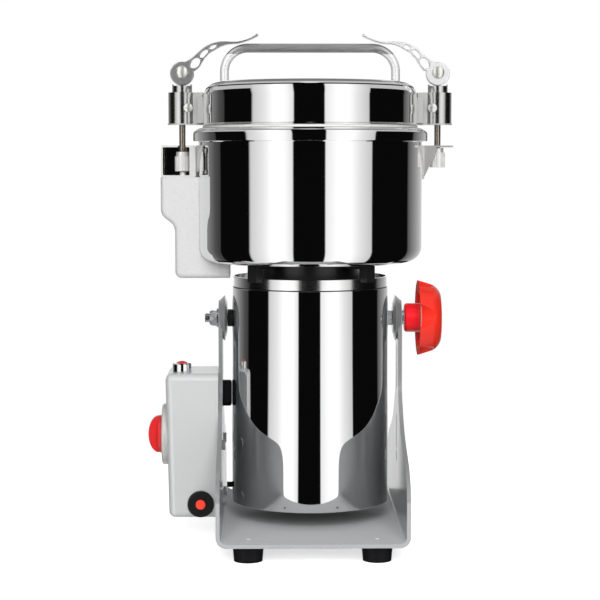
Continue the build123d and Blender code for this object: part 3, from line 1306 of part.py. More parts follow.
with BuildPart() as interlock_cover:
    with BuildSketch(MILL_XZ):
        with BuildLine():
            cover_top = Line((-COVER_BACK, COVER_TOP), (-COVER_OUT, COVER_TOP))
            cover_side = Line(cover_top @ 1, (-COVER_OUT, COVER_STEP_Z))
            cover_curve = Bezier(
                cover_side @ 1,
                (-COVER_OUT, COVER_STEP_Z - 0.62 * COVER_CURVE_H),
                (-COVER_IN, COVER_STEP_Z - 0.38 * COVER_CURVE_H),
                (-COVER_IN, COVER_STEP_Z - COVER_CURVE_H),
            )
            cover_wall = Line(cover_curve @ 1, (-COVER_IN, COVER_FOOT_Z + COVER_BEND))
            cover_bend = JernArc(cover_wall @ 1, (0, -1), COVER_BEND, 90)
            cover_foot = Line(cover_bend @ 1, (-COVER_FOOT_X, COVER_FOOT_Z))
            Polyline(
                cover_foot @ 1,
                (-COVER_FOOT_X, BOWL_Z + COVER_SILL),
                (-COVER_BACK, BOWL_Z + COVER_SILL),
                (-COVER_BACK, COVER_TOP),
            )
        make_face()
    extrude(amount=COVER_HALF, both=True)
    side_edges = [
        edge
        for edge in interlock_cover.edges()
        if abs(abs(edge.center().Y) - COVER_HALF) < CUT
        and edge.center().Z < COVER_TOP - CUT
        and (
            edge.center().X < AXIS_X - COVER_IN + COVER_BEND
            or edge.center().Z < COVER_FOOT_Z + CUT
        )
    ]
    fillet(side_edges, COVER_ROUND)
    with BuildSketch(ring_plane(SWITCH_TOP - SWITCH_H)):
        with Locations((-(POCKET_OUT + BOWL_R) / 2, 0)):
            Rectangle(POCKET_OUT - BOWL_R, 2 * (COVER_HALF - COVER_WALL))
    extrude(amount=COVER_TOP - COVER_WALL - SWITCH_TOP + SWITCH_H, mode=Mode.SUBTRACT)
    with BuildSketch(MILL_XZ):
        with BuildLine():
            Polyline(
                (-COVER_IN + COVER_WALL, SWITCH_TOP),
                (-COVER_IN + COVER_WALL, COVER_FOOT_Z + COVER_WALL + DUCT_BEND),
                (-COVER_IN + COVER_WALL + DUCT_BEND, COVER_FOOT_Z + COVER_WALL),
                (-DUCT_IN, COVER_FOOT_Z + COVER_WALL),
                (-DUCT_IN, BOWL_Z + 2 * COVER_SILL),
                (-BOWL_R + 2 * DUCT_BEND, BOWL_Z + 2 * COVER_SILL),
                (-BOWL_R + CUT, SWITCH_TOP),
                close=True,
            )
        make_face()
    extrude(amount=DUCT_HALF, both=True, mode=Mode.SUBTRACT)
    with BuildSketch(ring_plane(COVER_TOP)):
        with Locations((-CLAMP_X, 0)):
            Circle(LOCK_PIN_R + RUN)
    extrude(amount=-COVER_WALL, mode=Mode.SUBTRACT)
    add(bowl_envelope.part, mode=Mode.SUBTRACT)
finish(interlock_cover, "interlock_cover")

SWITCH_ROOM = 3.5           # cover's side wall to the switch
SWITCH_W = 2 * (COVER_HALF - COVER_WALL - SWITCH_ROOM)
SWITCH_D = 10.0
PLUNGER_R = 2.0
PLUNGER_H = 2.0
with BuildPart() as microswitch:
    with BuildSketch(ring_plane(SWITCH_TOP - SWITCH_H)):
        with Locations((-CLAMP_X, 0)):
            Rectangle(SWITCH_D, SWITCH_W)
    extrude(amount=SWITCH_H - PLUNGER_H)
    with BuildSketch(ring_plane(SWITCH_TOP - PLUNGER_H)):
        with Locations((-CLAMP_X, 0)):
            Circle(PLUNGER_R)
    extrude(amount=PLUNGER_H)
finish(microswitch, "microswitch")

# Lid, gasket and handle
LID_LIP = 0.5               # how far the lid's flange stands into the bowl's mouth
GASKET_R = LID_R + 0.4
with BuildPart() as lid:
    with BuildSketch(MILL_XZ):
        with BuildLine():
            lid_foot = Line((MOUTH_R - LID_LIP, FLANGE_Z), (FLANGE_R, FLANGE_Z))
            curl = Line(lid_foot @ 1, (FLANGE_R, FLANGE_Z + FLANGE_T))
            curl_top = Line(curl @ 1, (LID_R, FLANGE_Z + FLANGE_T))
            lid_side = Line(curl_top @ 1, (LID_R, LID_TOP - LID_CORNER))
            lid_round = JernArc(lid_side @ 1, (0, 1), LID_CORNER, 90)
            Line(lid_round @ 1, (0, LID_TOP))
            inner_top = Line((0, LID_TOP), (0, LID_TOP - LID_WALL))
            under = Line(inner_top @ 1, (LID_R - LID_CORNER, LID_TOP - LID_WALL))
            inner_round = JernArc(under @ 1, (1, 0), LID_CORNER - LID_WALL, -90)
            inner_side = Line(inner_round @ 1, (LID_R - LID_WALL, FLANGE_Z + FLANGE_T))
            Polyline(
                inner_side @ 1,
                (MOUTH_R - LID_LIP, FLANGE_Z + FLANGE_T),
                (MOUTH_R - LID_LIP, FLANGE_Z),
            )
        make_face()
    revolve(axis=MILL_AXIS)
finish(lid, "lid")

with BuildPart() as lid_gasket:
    with BuildSketch(ring_plane(GASKET_Z)):
        Circle(GASKET_R)
        Circle(MOUTH_R + LID_LIP, mode=Mode.SUBTRACT)
    extrude(amount=GASKET_T)
finish(lid_gasket, "lid_gasket")

HANDLE_LEG_X = HANDLE_HALF_SPAN - HANDLE_R
with BuildPart() as lid_handle:
    with BuildLine(MILL_XZ):
        FilletPolyline(
            (-HANDLE_LEG_X, LID_TOP),
            (-HANDLE_LEG_X, HANDLE_TOP - HANDLE_R),
            (HANDLE_LEG_X, HANDLE_TOP - HANDLE_R),
            (HANDLE_LEG_X, LID_TOP),
            radius=HANDLE_BEND,
        )
    with BuildSketch(Plane((AXIS_X - HANDLE_LEG_X, 0, LID_TOP))):
        Circle(HANDLE_R)
    sweep()
finish(lid_handle, "lid_handle")

# Clamp barrels: a saddle on the lid's side wall that carries the upright barrel
NECK_HALF = 8.5
STRIP_HALF = 13.0
STRIP_T = 4.6
STRIP_EDGE = 1.5            # barrel's foot to the strip
STRIP_SHORT = 6.0
BARREL_LIP = 1.2
BARREL_LIP_OUT = 0.6
SCREW_X = CLAMP_X - 6.0
SCREW_RISE = 15.0
SCREW_Z = BARREL_Z + SCREW_RISE
SIDE_SCREW_R = 4.0
SIDE_SCREW_H = 2.6
SIDE_SCREW_ROUND = 1.0
SCREW_SHANK_R = 2.0
SCREW_SHANK_L = 3.0
SCREW_HOLE_L = 6.0
with BuildPart() as lid_envelope:
    with BuildSketch(ring_plane(FLANGE_Z)):
        Circle(LID_R)
    extrude(amount=LID_TOP - FLANGE_Z)
    with BuildSketch(ring_plane(FLANGE_Z)):
        Circle(FLANGE_R)
    extrude(amount=FLANGE_T)

for side_name, side in SIDES.items():
    with BuildPart() as clamp_barrel:
        with BuildSketch(ring_plane(BARREL_Z)):
            with Locations((side * CLAMP_X, 0)):
                Circle(BARREL_R)
            with Locations((side * (LID_R + CLAMP_X) / 2, 0)):
                Rectangle(CLAMP_X - LID_R, 2 * NECK_HALF)
        extrude(amount=BARREL_H)
        with BuildSketch(ring_plane(BARREL_Z)):
            with Locations((side * CLAMP_X, 0)):
                Circle(BARREL_R + BARREL_LIP_OUT)
        extrude(amount=BARREL_LIP)
        with BuildSketch(ring_plane(BARREL_Z + STRIP_EDGE)):
            with Locations((side * LID_R, 0)):
                Rectangle(2 * STRIP_T, 2 * STRIP_HALF)
        extrude(amount=BARREL_H - STRIP_SHORT)
        add(lid_envelope.part, mode=Mode.SUBTRACT)
        with BuildSketch(ring_plane(BARREL_Z)):
            with Locations((side * CLAMP_X, 0)):
                Circle(ROD_R + RUN)
        extrude(amount=BARREL_H, mode=Mode.SUBTRACT)
        with BuildSketch(MILL_XZ.offset(BARREL_R + CUT)):
            with Locations((side * SCREW_X, SCREW_Z)):
                Circle(SCREW_SHANK_R + SEAT)
        extrude(amount=-SCREW_HOLE_L, mode=Mode.SUBTRACT)
    finish(clamp_barrel, f"{side_name}_clamp_barrel")

SCREW_FACE = sqrt(BARREL_R**2 - (CLAMP_X - SCREW_X) ** 2)
with BuildPart() as clamp_screws:
    with BuildSketch(MILL_XZ.offset(SCREW_FACE)):
        with Locations((-SCREW_X, SCREW_Z), (SCREW_X, SCREW_Z)):
            Circle(SCREW_SHANK_R)
    extrude(amount=SCREW_SHANK_L, both=True)
    with BuildSketch(MILL_XZ.offset(SCREW_FACE + SIDE_SCREW_H)):
        with Locations((-SCREW_X, SCREW_Z), (SCREW_X, SCREW_Z)):
            Circle(SIDE_SCREW_R)
    extrude(amount=SIDE_SCREW_H)
    fillet(clamp_screws.faces().sort_by(Axis.Y)[0:2].edges(), SIDE_SCREW_ROUND)
finish(clamp_screws, "clamp_screws")

with BuildPart() as saddle_collars:
    with BuildSketch(ring_plane(COLLAR_Z)):
        with Locations((-CLAMP_X, 0), (CLAMP_X, 0)):
            Circle(COLLAR_R)
            Circle(ROD_R + RUN, mode=Mode.SUBTRACT)
    extrude(amount=COLLAR_H)
    with BuildSketch(ring_plane(COLLAR_TOP - GROOVE_DEPTH)):
        with Locations((-CLAMP_X, 0), (CLAMP_X, 0)):
            Rectangle(2 * GROOVE_HALF, 2 * (COLLAR_R + CUT))
    extrude(amount=GROOVE_DEPTH, mode=Mode.SUBTRACT)
finish(saddle_collars, "saddle_collars")

# Draw rods with an eye at the top, and their knurled nuts
LEFT_NUT_DROP = 4.0         # latch plate to the left nut
LEFT_NUT_TOP = LATCH_Z - LEFT_NUT_DROP
RIGHT_NUT_TOP = LATCH_Z - 2 * GAP
KNURLS = 20
KNURL = 0.8
NUT_COLLAR_H = 4.0
NUT_COLLAR_R = 5.6
ROD_INSET = 0.3             # rod's end inside its nut
for side_name, side in SIDES.items():
    nut_top = LEFT_NUT_TOP if side < 0 else RIGHT_NUT_TOP
    nut_foot = nut_top - NUT_H
    with BuildPart() as draw_rod:
        with BuildSketch(ring_plane(nut_foot + ROD_INSET)):
            with Locations((side * CLAMP_X, 0)):
                Circle(ROD_R)
        extrude(amount=PIN_Z - nut_foot - ROD_INSET)
        with BuildSketch(MILL_XZ.offset(-EYE_T / 2)):
            with Locations((side * CLAMP_X, PIN_Z)):
                Circle(EYE_R)
        extrude(amount=EYE_T)
        with BuildSketch(MILL_XZ.offset(-EYE_T)):
            with Locations((side * CLAMP_X, PIN_Z)):
                Circle(PIN_R + RUN)
        extrude(amount=2 * EYE_T, mode=Mode.SUBTRACT)
    finish(draw_rod, f"{side_name}_draw_rod")

    with BuildPart() as rod_nut:
        with BuildSketch(ring_plane(nut_foot)):
            with Locations((side * CLAMP_X, 0)):
                Circle(NUT_R)
                with PolarLocations(NUT_R, KNURLS):
                    Rectangle(KNURL, KNURL, rotation=45, mode=Mode.SUBTRACT)
        extrude(amount=NUT_H - NUT_COLLAR_H)
        with BuildSketch(ring_plane(nut_top - NUT_COLLAR_H)):
            with Locations((side * CLAMP_X, 0)):
                Circle(NUT_COLLAR_R)
        extrude(amount=NUT_COLLAR_H)
        with BuildSketch(ring_plane(nut_foot)):
            with Locations((side * CLAMP_X, 0)):
                Circle(ROD_R + SEAT)
        extrude(amount=NUT_H, mode=Mode.SUBTRACT)
    finish(rod_nut, f"{side_name}_rod_nut")

# Cam levers: a forked cam on the rod's eye, and an arm with three windows.
# The arm's points are inward of the pin and up from it.
WINDOWS = [((11.8, 8.1), 5.4, 3.6, 48), ((19.6, 16.4), 4.7, 2.3, 45), ((27.6, 22.3), 3.5, 1.6, 26)]
FORK_R = 12.5
PIN_HEAD_T = 2.2
PIN_HEAD_ROUND = 1.6
for side_name, side in SIDES.items():
    lever_plane = Plane(
        (AXIS_X + side * CLAMP_X, 0, PIN_Z), x_dir=(-side, 0, 0), z_dir=(0, side, 0)
    )
    with BuildPart() as cam_lever:
        with BuildSketch(lever_plane):
            with BuildLine():
                top_edge = Spline(
                    (2.0, 9.0),
                    (9.2, 13.0),
                    (19.5, 21.8),
                    (29.9, 26.4),
                    (38.5, 27.3),
                    (47.1, 27.0),
                    (54.5, 28.1),
                    (66.5, 33.9),
                )
                tip_end = ThreePointArc(top_edge @ 1, (67.9, 33.4), (67.3, 31.9))
                low_edge = Spline(
                    tip_end @ 1,
                    (59.1, 28.2),
                    (54.0, 26.5),
                    (48.8, 25.4),
                    (40.0, 24.6),
                    (33.5, 22.2),
                    (28.5, 19.3),
                    (24.9, 17.2),
                    (19.6, 11.6),
                    (16.0, 5.4),
                    (9.5, 1.0),
                )
                Line(low_edge @ 1, top_edge @ 0)
            make_face()
            with Locations((0, -CAM_OFFSET)):
                Circle(CAM_R)
            for place, half_long, half_wide, slant in WINDOWS:
                with Locations(place):
                    Ellipse(half_long, half_wide, rotation=slant, mode=Mode.SUBTRACT)
        extrude(amount=LEVER_T / 2, both=True)
        with BuildSketch(lever_plane):
            Circle(FORK_R)
        extrude(amount=EYE_T / 2 + GAP, both=True, mode=Mode.SUBTRACT)
        with BuildSketch(lever_plane):
            Circle(PIN_R + SEAT)
        extrude(amount=LEVER_T, both=True, mode=Mode.SUBTRACT)
    finish(cam_lever, f"{side_name}_cam_lever")

    with BuildPart() as lever_pin:
        with BuildSketch(lever_plane):
            Circle(PIN_R)
        extrude(amount=LEVER_T / 2, both=True)
        for face_side in (-1, 1):
            with BuildSketch(lever_plane.offset(face_side * LEVER_T / 2)):
                Circle(PIN_HEAD_R)
            extrude(amount=face_side * PIN_HEAD_T)
        fillet(lever_pin.faces().sort_by(Axis.Y)[0].edges(), PIN_HEAD_ROUND)
        fillet(lever_pin.faces().sort_by(Axis.Y)[-1].edges(), PIN_HEAD_ROUND)
    finish(lever_pin, f"{side_name}_lever_pin")

# Interlock pin, pushed down by the left rod's nut
with BuildPart() as interlock_pin:
    with BuildSketch(ring_plane(PIN_FOOT)):
        with Locations((-CLAMP_X, 0)):
            Circle(LOCK_PIN_R)
    extrude(amount=LEFT_NUT_TOP - NUT_H - GAP - PIN_FOOT)
finish(interlock_pin, "interlock_pin")
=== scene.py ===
import bpy
import bmesh
import json
from math import cos, pi, radians, sin
from mathutils import Matrix, Vector


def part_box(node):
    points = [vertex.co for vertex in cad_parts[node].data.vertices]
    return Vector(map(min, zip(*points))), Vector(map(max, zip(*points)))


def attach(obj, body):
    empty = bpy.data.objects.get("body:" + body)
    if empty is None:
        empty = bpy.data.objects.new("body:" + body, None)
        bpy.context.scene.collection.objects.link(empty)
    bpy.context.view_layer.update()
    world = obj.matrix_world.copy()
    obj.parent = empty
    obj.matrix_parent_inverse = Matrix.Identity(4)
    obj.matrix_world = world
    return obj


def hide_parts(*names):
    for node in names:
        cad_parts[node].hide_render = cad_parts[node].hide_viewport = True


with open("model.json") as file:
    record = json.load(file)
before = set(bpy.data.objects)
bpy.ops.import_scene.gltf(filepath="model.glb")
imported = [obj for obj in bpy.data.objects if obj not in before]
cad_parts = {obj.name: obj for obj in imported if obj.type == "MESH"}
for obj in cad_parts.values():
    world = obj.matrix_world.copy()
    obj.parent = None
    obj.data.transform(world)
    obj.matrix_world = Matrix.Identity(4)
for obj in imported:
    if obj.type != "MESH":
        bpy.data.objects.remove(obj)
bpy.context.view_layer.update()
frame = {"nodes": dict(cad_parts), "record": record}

MM = 0.001
NODES = frame["nodes"]
SLOTS = {part["node"]: part["material_slot"] for part in frame["record"]["subparts"]}

# Main places, read from the frame
TUBE_LOW, TUBE_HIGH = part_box("motor_tube")
AXIS_X = (TUBE_LOW[0] + TUBE_HIGH[0]) / 2
BOWL_LOW, BOWL_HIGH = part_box("bowl")
LID_LOW, LID_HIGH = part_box("lid")
HANDLE_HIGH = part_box("lid_handle")[1]
KNOB_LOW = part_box("lock_knob")[0]
FRAME_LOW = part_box("base_frame")[0]
SCREWS_LOW, SCREWS_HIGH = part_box("clamp_screws")

# Sizes that the frame's boxes don't give, as in the CAD
TUBE_R = (TUBE_HIGH[0] - TUBE_LOW[0]) / 2
SHEET_WALL = 1.5 * MM
BOWL_R = 100.8 * MM
BOWL_CORNER = 14.0 * MM
RIM_H = 12.0 * MM
RIM_BAND = 6.5 * MM
RIM_TOP_R = 97.5 * MM
MOUTH_R = 90.0 * MM
MOUTH_T = 3.0 * MM
SHAFT_HOLE_R = 10.0 * MM
LID_R = 95.8 * MM
LID_CORNER = 13.0 * MM
FLANGE_T = 1.6 * MM
HANDLE_R = 4.0 * MM
HANDLE_BEND = 21.0 * MM
CLAMP_X = 114.3 * MM        # clamp rods from the mill's axis
BARREL_R = 12.5 * MM
LEVER_HALF = 5.0 * MM
EASE = 0.8 * MM             # rounding of the levers' outlines
PIN_R = 3.0 * MM
HOUSING_FRONT = 12.2 * MM   # how far forward the left housing's front strip starts
HOUSING_HALF = 14.0 * MM    # and where its walls end
SCREW_X = 108.3 * MM
STRIP_OUT = 107.6 * MM      # outer edge of the left housing's front strip
PLATE_TOP = 18.3 * MM
SCREW_RISE = 2.6 * MM       # the stand's screw heads above its plate
HUB_END = 12.4 * MM         # the knob's hub, from its inner end to its head
HUB_EDGE = 0.1 * MM         # how far short of the head the hub's own red stops
KNOB_RIM_HIGHLIGHT_HALF = 0.15 * MM   # half the width of the painted highlight on the knob's rim
SHADED_LUG_FROM = 0.4 * MM         # beyond a barrel's round wall, where its lug's darker colour, painted shade, starts
BARE_EDGE = 0.3 * MM        # depth of the left housing's bare sheet edges
SHADED_LIP_DEPTH = 0.6 * MM        # depth of the stand's front lip, painted darker as shade
PAINTED_LIGHT_LEG_DROP = 1.6 * HANDLE_R + 0.15 * HANDLE_BEND  # handle's top to its legs, painted lighter than its top bar as painted light
PIN_HEAD_R = 5.7 * MM
PIN_DOME = 3.2 * MM         # rise of a lever pin's domed head
PIN_EDGE = 0.4 * MM         # upright edge below the dome
PIN_UNDERCUT = 0.2 * MM     # how much narrower the head is where it sits
SCREW_R = 3.9 * MM
SCREW_DEPTH = 2.6 * MM
SCREW_CROWN = 0.9 * MM
CROSS_HALF = 0.55 * MM      # half the width of the cross recess
CROSS_REACH = 0.62 * SCREW_R
CROSS_DEPTH = 1.0 * MM
RIM_TUCK = 0.6 * MM         # below the rim, where the bowl's wall starts to lean out
RIM_LEAN = 0.5 * MM         # and how far it leans
MOUTH_SLOPE = 5.0 * MM      # height of the slope from the mouth's ring to the inner wall
LIP_IN = 0.5 * MM           # gap between the lid's flange and the bowl's mouth

# Camera: eye height, distance and lens found from the photograph's perspective
EYE_HEIGHT = 0.3419
EYE_DISTANCE = 1.62
EYE_AZIMUTH = radians(-1.0)
AIM = Vector((AXIS_X - 9.0 * MM, 0.0, 0.2144))
LENS = 108.0

# Studio: levels of light, and places in metres
AMBIENT = 0.24
FLOOR_GLOW = 0.62
FLOOR_FADE = (0.30, 0.75)    # from the middle, where the floor melts into white
FLOOR_MARGIN = 0.1           # floor beyond the fade
SURROUND_R = 1.3
SURROUND_Z = 0.25
SURROUND_END = 85.0         # degrees up and down from its middle, where the shell stops
SOFT = 0.01                 # half the width of a band's edge
SIDE_FROM = 15.0            # degrees that a surface turns before it mirrors the side flats
# The surround's bands are set out by the slope of the surface that mirrors them to the front:
# 0 is an upright wall, 1 faces up and -1 faces down
PANEL_TOP = 0.62
FLAT_TOP = 0.42
DARK_TOP = 0.69
BRIGHT_TOP = 0.79
PANEL_FOOT = -0.70
DARK_FOOT = -0.80
BRIGHT = 0.62
CEILING = 0.22
UNDER = 0.75
REAR = 1.15
REAR_FROM = 0.93            # part of the shell's radius behind its middle, all white
# What the polished steel mirrors: azimuth from the front in degrees, and brightness
SURROUND = [
    (-180, 1.20),
    (-165, 1.10),
    (-150, 0.62),
    (-131, 0.34),
    (-121, 0.21),
    (-110, 0.09),
    (-101, 0.05),
    (-100, 0.003),
    (-62.5, 0.003),
    (-61.5, 0.72),
    (-48, 0.95),
    (-35, 1.35),
    (-24, 1.15),
    (-18, 0.90),
    (-17, 0.003),
    (13, 0.003),
    (14, 0.95),
    (24, 1.15),
    (36, 1.25),
    (48, 0.90),
    (60.5, 0.66),
    (61.5, 0.003),
    (112, 0.003),
    (113, 0.09),
    (121, 0.21),
    (131, 0.34),
    (150, 0.62),
    (165, 1.10),
    (180, 1.20),
]


def add_object(name, data):
    """A new object in the scene, for a mesh, a lamp or the camera."""
    piece = bpy.data.objects.new(name, data)
    bpy.context.scene.collection.objects.link(piece)
    return piece


def make_camera():
    data = bpy.data.cameras.new("camera")
    data.lens = LENS
    data.sensor_width = 36.0
    camera = add_object("camera", data)
    camera.location = (
        AIM.x + EYE_DISTANCE * sin(EYE_AZIMUTH),
        AIM.y - EYE_DISTANCE * cos(EYE_AZIMUTH),
        EYE_HEIGHT,
    )
    aim = AIM - camera.location
    camera.rotation_euler = aim.to_track_quat("-Z", "Y").to_euler()
    bpy.context.scene.camera = camera


# Material helpers
def material(name):
    mat = bpy.data.materials.new(name)
    mat.use_nodes = True
    tree = mat.node_tree
    bsdf = tree.nodes["Principled BSDF"]
    return mat, tree, bsdf


def object_coordinates(tree, scale=(1, 1, 1)):
    coords = tree.nodes.new("ShaderNodeTexCoord")
    mapping = tree.nodes.new("ShaderNodeMapping")
    mapping.inputs["Scale"].default_value = scale
    tree.links.new(coords.outputs["Object"], mapping.inputs["Vector"])
    return mapping.outputs["Vector"]


def noise(tree, vector, scale, detail=3.0, rough=0.5):
    node = tree.nodes.new("ShaderNodeTexNoise")
    node.inputs["Scale"].default_value = scale
    node.inputs["Detail"].default_value = detail
    node.inputs["Roughness"].default_value = rough
    tree.links.new(vector, node.inputs["Vector"])
    return node.outputs["Fac"]


def grey(level):
    """The same level of red, green and blue."""
    return (level, level, level)


def ramp(tree, value, stops):
    node = tree.nodes.new("ShaderNodeValToRGB")
    tree.links.new(value, node.inputs["Fac"])
    elements = node.color_ramp.elements
    while len(elements) < len(stops):
        elements.new(0.5)
    for element, (place, colour) in zip(elements, stops):
        element.position = place
        element.color = (*colour, 1.0)
    return node.outputs["Color"]


def to_range(tree, value, low, high):
    node = tree.nodes.new("ShaderNodeMapRange")
    node.inputs["To Min"].default_value = low
    node.inputs["To Max"].default_value = high
    tree.links.new(value, node.inputs["Value"])
    return node.outputs["Result"]


def bump(tree, bsdf, value, strength, distance, edge=0.0):
    """Surface relief, and optionally edges that look rounded by the given radius."""
    node = tree.nodes.new("ShaderNodeBump")
    node.inputs["Strength"].default_value = strength
    node.inputs["Distance"].default_value = distance
    tree.links.new(value, node.inputs["Height"])
    if edge:
        bevel = tree.nodes.new("ShaderNodeBevel")
        bevel.samples = 4
        bevel.inputs["Radius"].default_value = edge
        tree.links.new(bevel.outputs["Normal"], node.inputs["Normal"])
    tree.links.new(node.outputs["Normal"], bsdf.inputs["Normal"])


def multiply(tree, first, second):
    mix = tree.nodes.new("ShaderNodeMix")
    mix.data_type = "RGBA"
    mix.blend_type = "MULTIPLY"
    mix.inputs["Factor"].default_value = 1.0
    tree.links.new(first, mix.inputs["A"])
    tree.links.new(second, mix.inputs["B"])
    return mix.outputs["Result"]


def math_node(tree, operation, first, second=0.0):
    node = tree.nodes.new("ShaderNodeMath")
    node.operation = operation
    for socket, value in zip(node.inputs, (first, second)):
        if isinstance(value, (int, float)):
            socket.default_value = value
        else:
            tree.links.new(value, socket)
    return node.outputs[0]


def axis(tree, letter):
    """X, Y or Z of the surface point, in the object's own space."""
    coords = tree.nodes.new("ShaderNodeTexCoord")
    split = tree.nodes.new("ShaderNodeSeparateXYZ")
    tree.links.new(coords.outputs["Object"], split.inputs[0])
    return split.outputs[letter]


def where(mat, mask, colour, rough, metal, coat=None):
    """Give the part of a material's surface where the mask is 1 another finish."""
    tree = mat.node_tree
    bsdf = tree.nodes["Principled BSDF"]
    changes = {"Base Color": (*colour, 1.0), "Roughness": rough, "Metallic": metal}
    if coat is not None:
        changes["Coat Weight"] = coat
    for name, value in changes.items():
        socket = bsdf.inputs[name]
        mix = tree.nodes.new("ShaderNodeMix")
        mix.data_type = "RGBA" if name == "Base Color" else "FLOAT"
        ends = [s for s in mix.inputs if s.enabled and s.name in ("A", "B")]
        factor = [s for s in mix.inputs if s.enabled and s.name == "Factor"][0]
        if socket.is_linked:
            tree.links.new(socket.links[0].from_socket, ends[0])
        else:
            ends[0].default_value = socket.default_value
        ends[1].default_value = value
        tree.links.new(mask, factor)
        result = [s for s in mix.outputs if s.enabled][0]
        tree.links.new(result, socket)


def steel(name, tone, rough_low, rough_high, grain, depth, stretch=(1, 1, 1), edge=0.0):
    """Polished or brushed metal: tone and roughness vary a little along its grain."""
    mat, tree, bsdf = material(name)
    vector = object_coordinates(tree, stretch)
    broad = noise(tree, vector, grain * 0.08, 2.0)
    fine = noise(tree, vector, grain, 4.0, 0.6)
    dark = tuple(0.93 * c for c in tone)
    tree.links.new(ramp(tree, broad, [(0.35, dark), (0.65, tone)]), bsdf.inputs["Base Color"])
    tree.links.new(to_range(tree, fine, rough_low, rough_high), bsdf.inputs["Roughness"])
    bsdf.inputs["Metallic"].default_value = 1.0
    bump(tree, bsdf, fine, 0.15, depth, edge)
    return mat


def threaded(name, tone, pitch, depth):
    """Metal with a fine screw thread along its upright axis."""
    mat, tree, bsdf = material(name)
    vector = object_coordinates(tree)
    wave = tree.nodes.new("ShaderNodeTexWave")
    wave.bands_direction = "Z"
    wave.inputs["Scale"].default_value = 1 / (20 * pitch) * 2 * pi
    tree.links.new(vector, wave.inputs["Vector"])
    fine = noise(tree, vector, 900.0, 3.0)
    dark = tuple(0.35 * c for c in tone)
    grooves = ramp(tree, wave.outputs["Fac"], [(0.1, dark), (0.6, tone)])
    tree.links.new(grooves, bsdf.inputs["Base Color"])
    tree.links.new(to_range(tree, fine, 0.18, 0.34), bsdf.inputs["Roughness"])
    bsdf.inputs["Metallic"].default_value = 1.0
    bump(tree, bsdf, wave.outputs["Fac"], 0.6, depth)
    return mat


def plastic(name, colour, rough_low, rough_high, grain, depth, coat=0.0, edge=0.0):
    """Moulded plastic or rubber with a fine moulded grain."""
    mat, tree, bsdf = material(name)
    vector = object_coordinates(tree)
    broad = noise(tree, vector, 22.0, 2.0)
    fine = noise(tree, vector, grain, 3.0, 0.6)
    dark = tuple(0.9 * c for c in colour)
    tree.links.new(ramp(tree, broad, [(0.3, dark), (0.7, colour)]), bsdf.inputs["Base Color"])
    tree.links.new(to_range(tree, fine, rough_low, rough_high), bsdf.inputs["Roughness"])
    bsdf.inputs["Coat Weight"].default_value = coat
    bump(tree, bsdf, fine, 0.25, depth, edge)
    return mat


def paint(name, colour, rough, fleck, peel_depth, metal, coat=0.0, speck=0.97, edge=0.5 * MM):
    """Baked silver-grey paint: fine metallic flecks, dark specks and a slight orange peel."""
    mat, tree, bsdf = material(name)
    vector = object_coordinates(tree)
    flecks = noise(tree, vector, 2600.0, 2.0)
    peel = noise(tree, vector, 420.0, 3.0)
    broad = noise(tree, vector, 9.0, 2.0)
    low = tuple(c * (1 - fleck) for c in colour)
    high = tuple(min(1.0, c * (1 + fleck)) for c in colour)
    tone = ramp(tree, flecks, [(0.35, low), (0.65, high)])
    wide = ramp(tree, broad, [(0.3, grey(0.96)), (0.7, grey(1.0))])
    pits = noise(tree, vector, 560.0, 4.0, 0.75)
    specks = ramp(tree, pits, [(0.32, grey(speck)), (0.44, grey(1.0))])
    tone = multiply(tree, tone, specks)
    tree.links.new(multiply(tree, tone, wide), bsdf.inputs["Base Color"])
    tree.links.new(to_range(tree, peel, rough - 0.05, rough + 0.05), bsdf.inputs["Roughness"])
    bsdf.inputs["Metallic"].default_value = metal
    bsdf.inputs["Coat Weight"].default_value = coat
    bsdf.inputs["Coat Roughness"].default_value = 0.25
    bump(tree, bsdf, peel, 0.25, peel_depth, edge)
    return mat


MIRROR = steel("mirror_steel", (0.87, 0.87, 0.875), 0.02, 0.04, 90.0, 0.000004, (1, 1, 0.2))
SATIN_RING = steel("ring_steel", (0.92, 0.92, 0.91), 0.12, 0.18, 300.0, 0.00001, (0.1, 0.1, 3))
POLISHED = steel("polished_bracket", (0.90, 0.89, 0.87), 0.30, 0.42, 700.0, 0.00001, edge=0.3 * MM)
HOUSING = steel("housing_steel", (0.80, 0.80, 0.80), 0.05, 0.09, 700.0, 0.000005, edge=0.3 * MM)
BARREL = steel(
    "barrel_steel", (0.64, 0.64, 0.63), 0.18, 0.22, 300.0, 0.000002, (1, 1, 0.2), 0.3 * MM
)
CHROME = steel("chrome", (0.86, 0.86, 0.87), 0.04, 0.08, 300.0, 0.000002, (1, 1, 0.2), 0.3 * MM)
PIN_STEEL = steel("pin_steel", (0.94, 0.94, 0.89), 0.30, 0.36, 900.0, 0.000005)
ROD_FINISH = steel("handle_steel", (0.78, 0.78, 0.78), 0.36, 0.46, 500.0, 0.00001, (0.1, 1, 1))
LEVER = steel("lever_steel", (0.66, 0.66, 0.67), 0.34, 0.44, 1500.0, 0.00002)
# The right lever is the same part as the left one; near-white paint stands in for the white it
# mirrors: a painted reflection.
PAINTED_REFLECTION_LEVER = paint("lever_painted_reflection", (0.86, 0.86, 0.86), 0.30, 0.02, 0.00004, 0.55, 0.1, edge=0.0)
THREAD = threaded("rod_steel", (0.62, 0.54, 0.47), 1.0 * MM, 0.0002)
ZINC = steel("zinc", (0.70, 0.71, 0.73), 0.18, 0.30, 1200.0, 0.00002, edge=0.3 * MM)
NUT = paint("knurled_nut", (0.88, 0.87, 0.85), 0.30, 0.06, 0.00005, 0.55)
BLADE = steel("blade_steel", (0.66, 0.66, 0.67), 0.14, 0.30, 300.0, 0.00001, (1, 8, 1))
IRON = steel("iron_core", (0.14, 0.14, 0.15), 0.35, 0.5, 800.0, 0.00003, (1, 1, 30))
COPPER = steel("copper", (0.72, 0.32, 0.14), 0.2, 0.35, 900.0, 0.00003, (1, 1, 12))
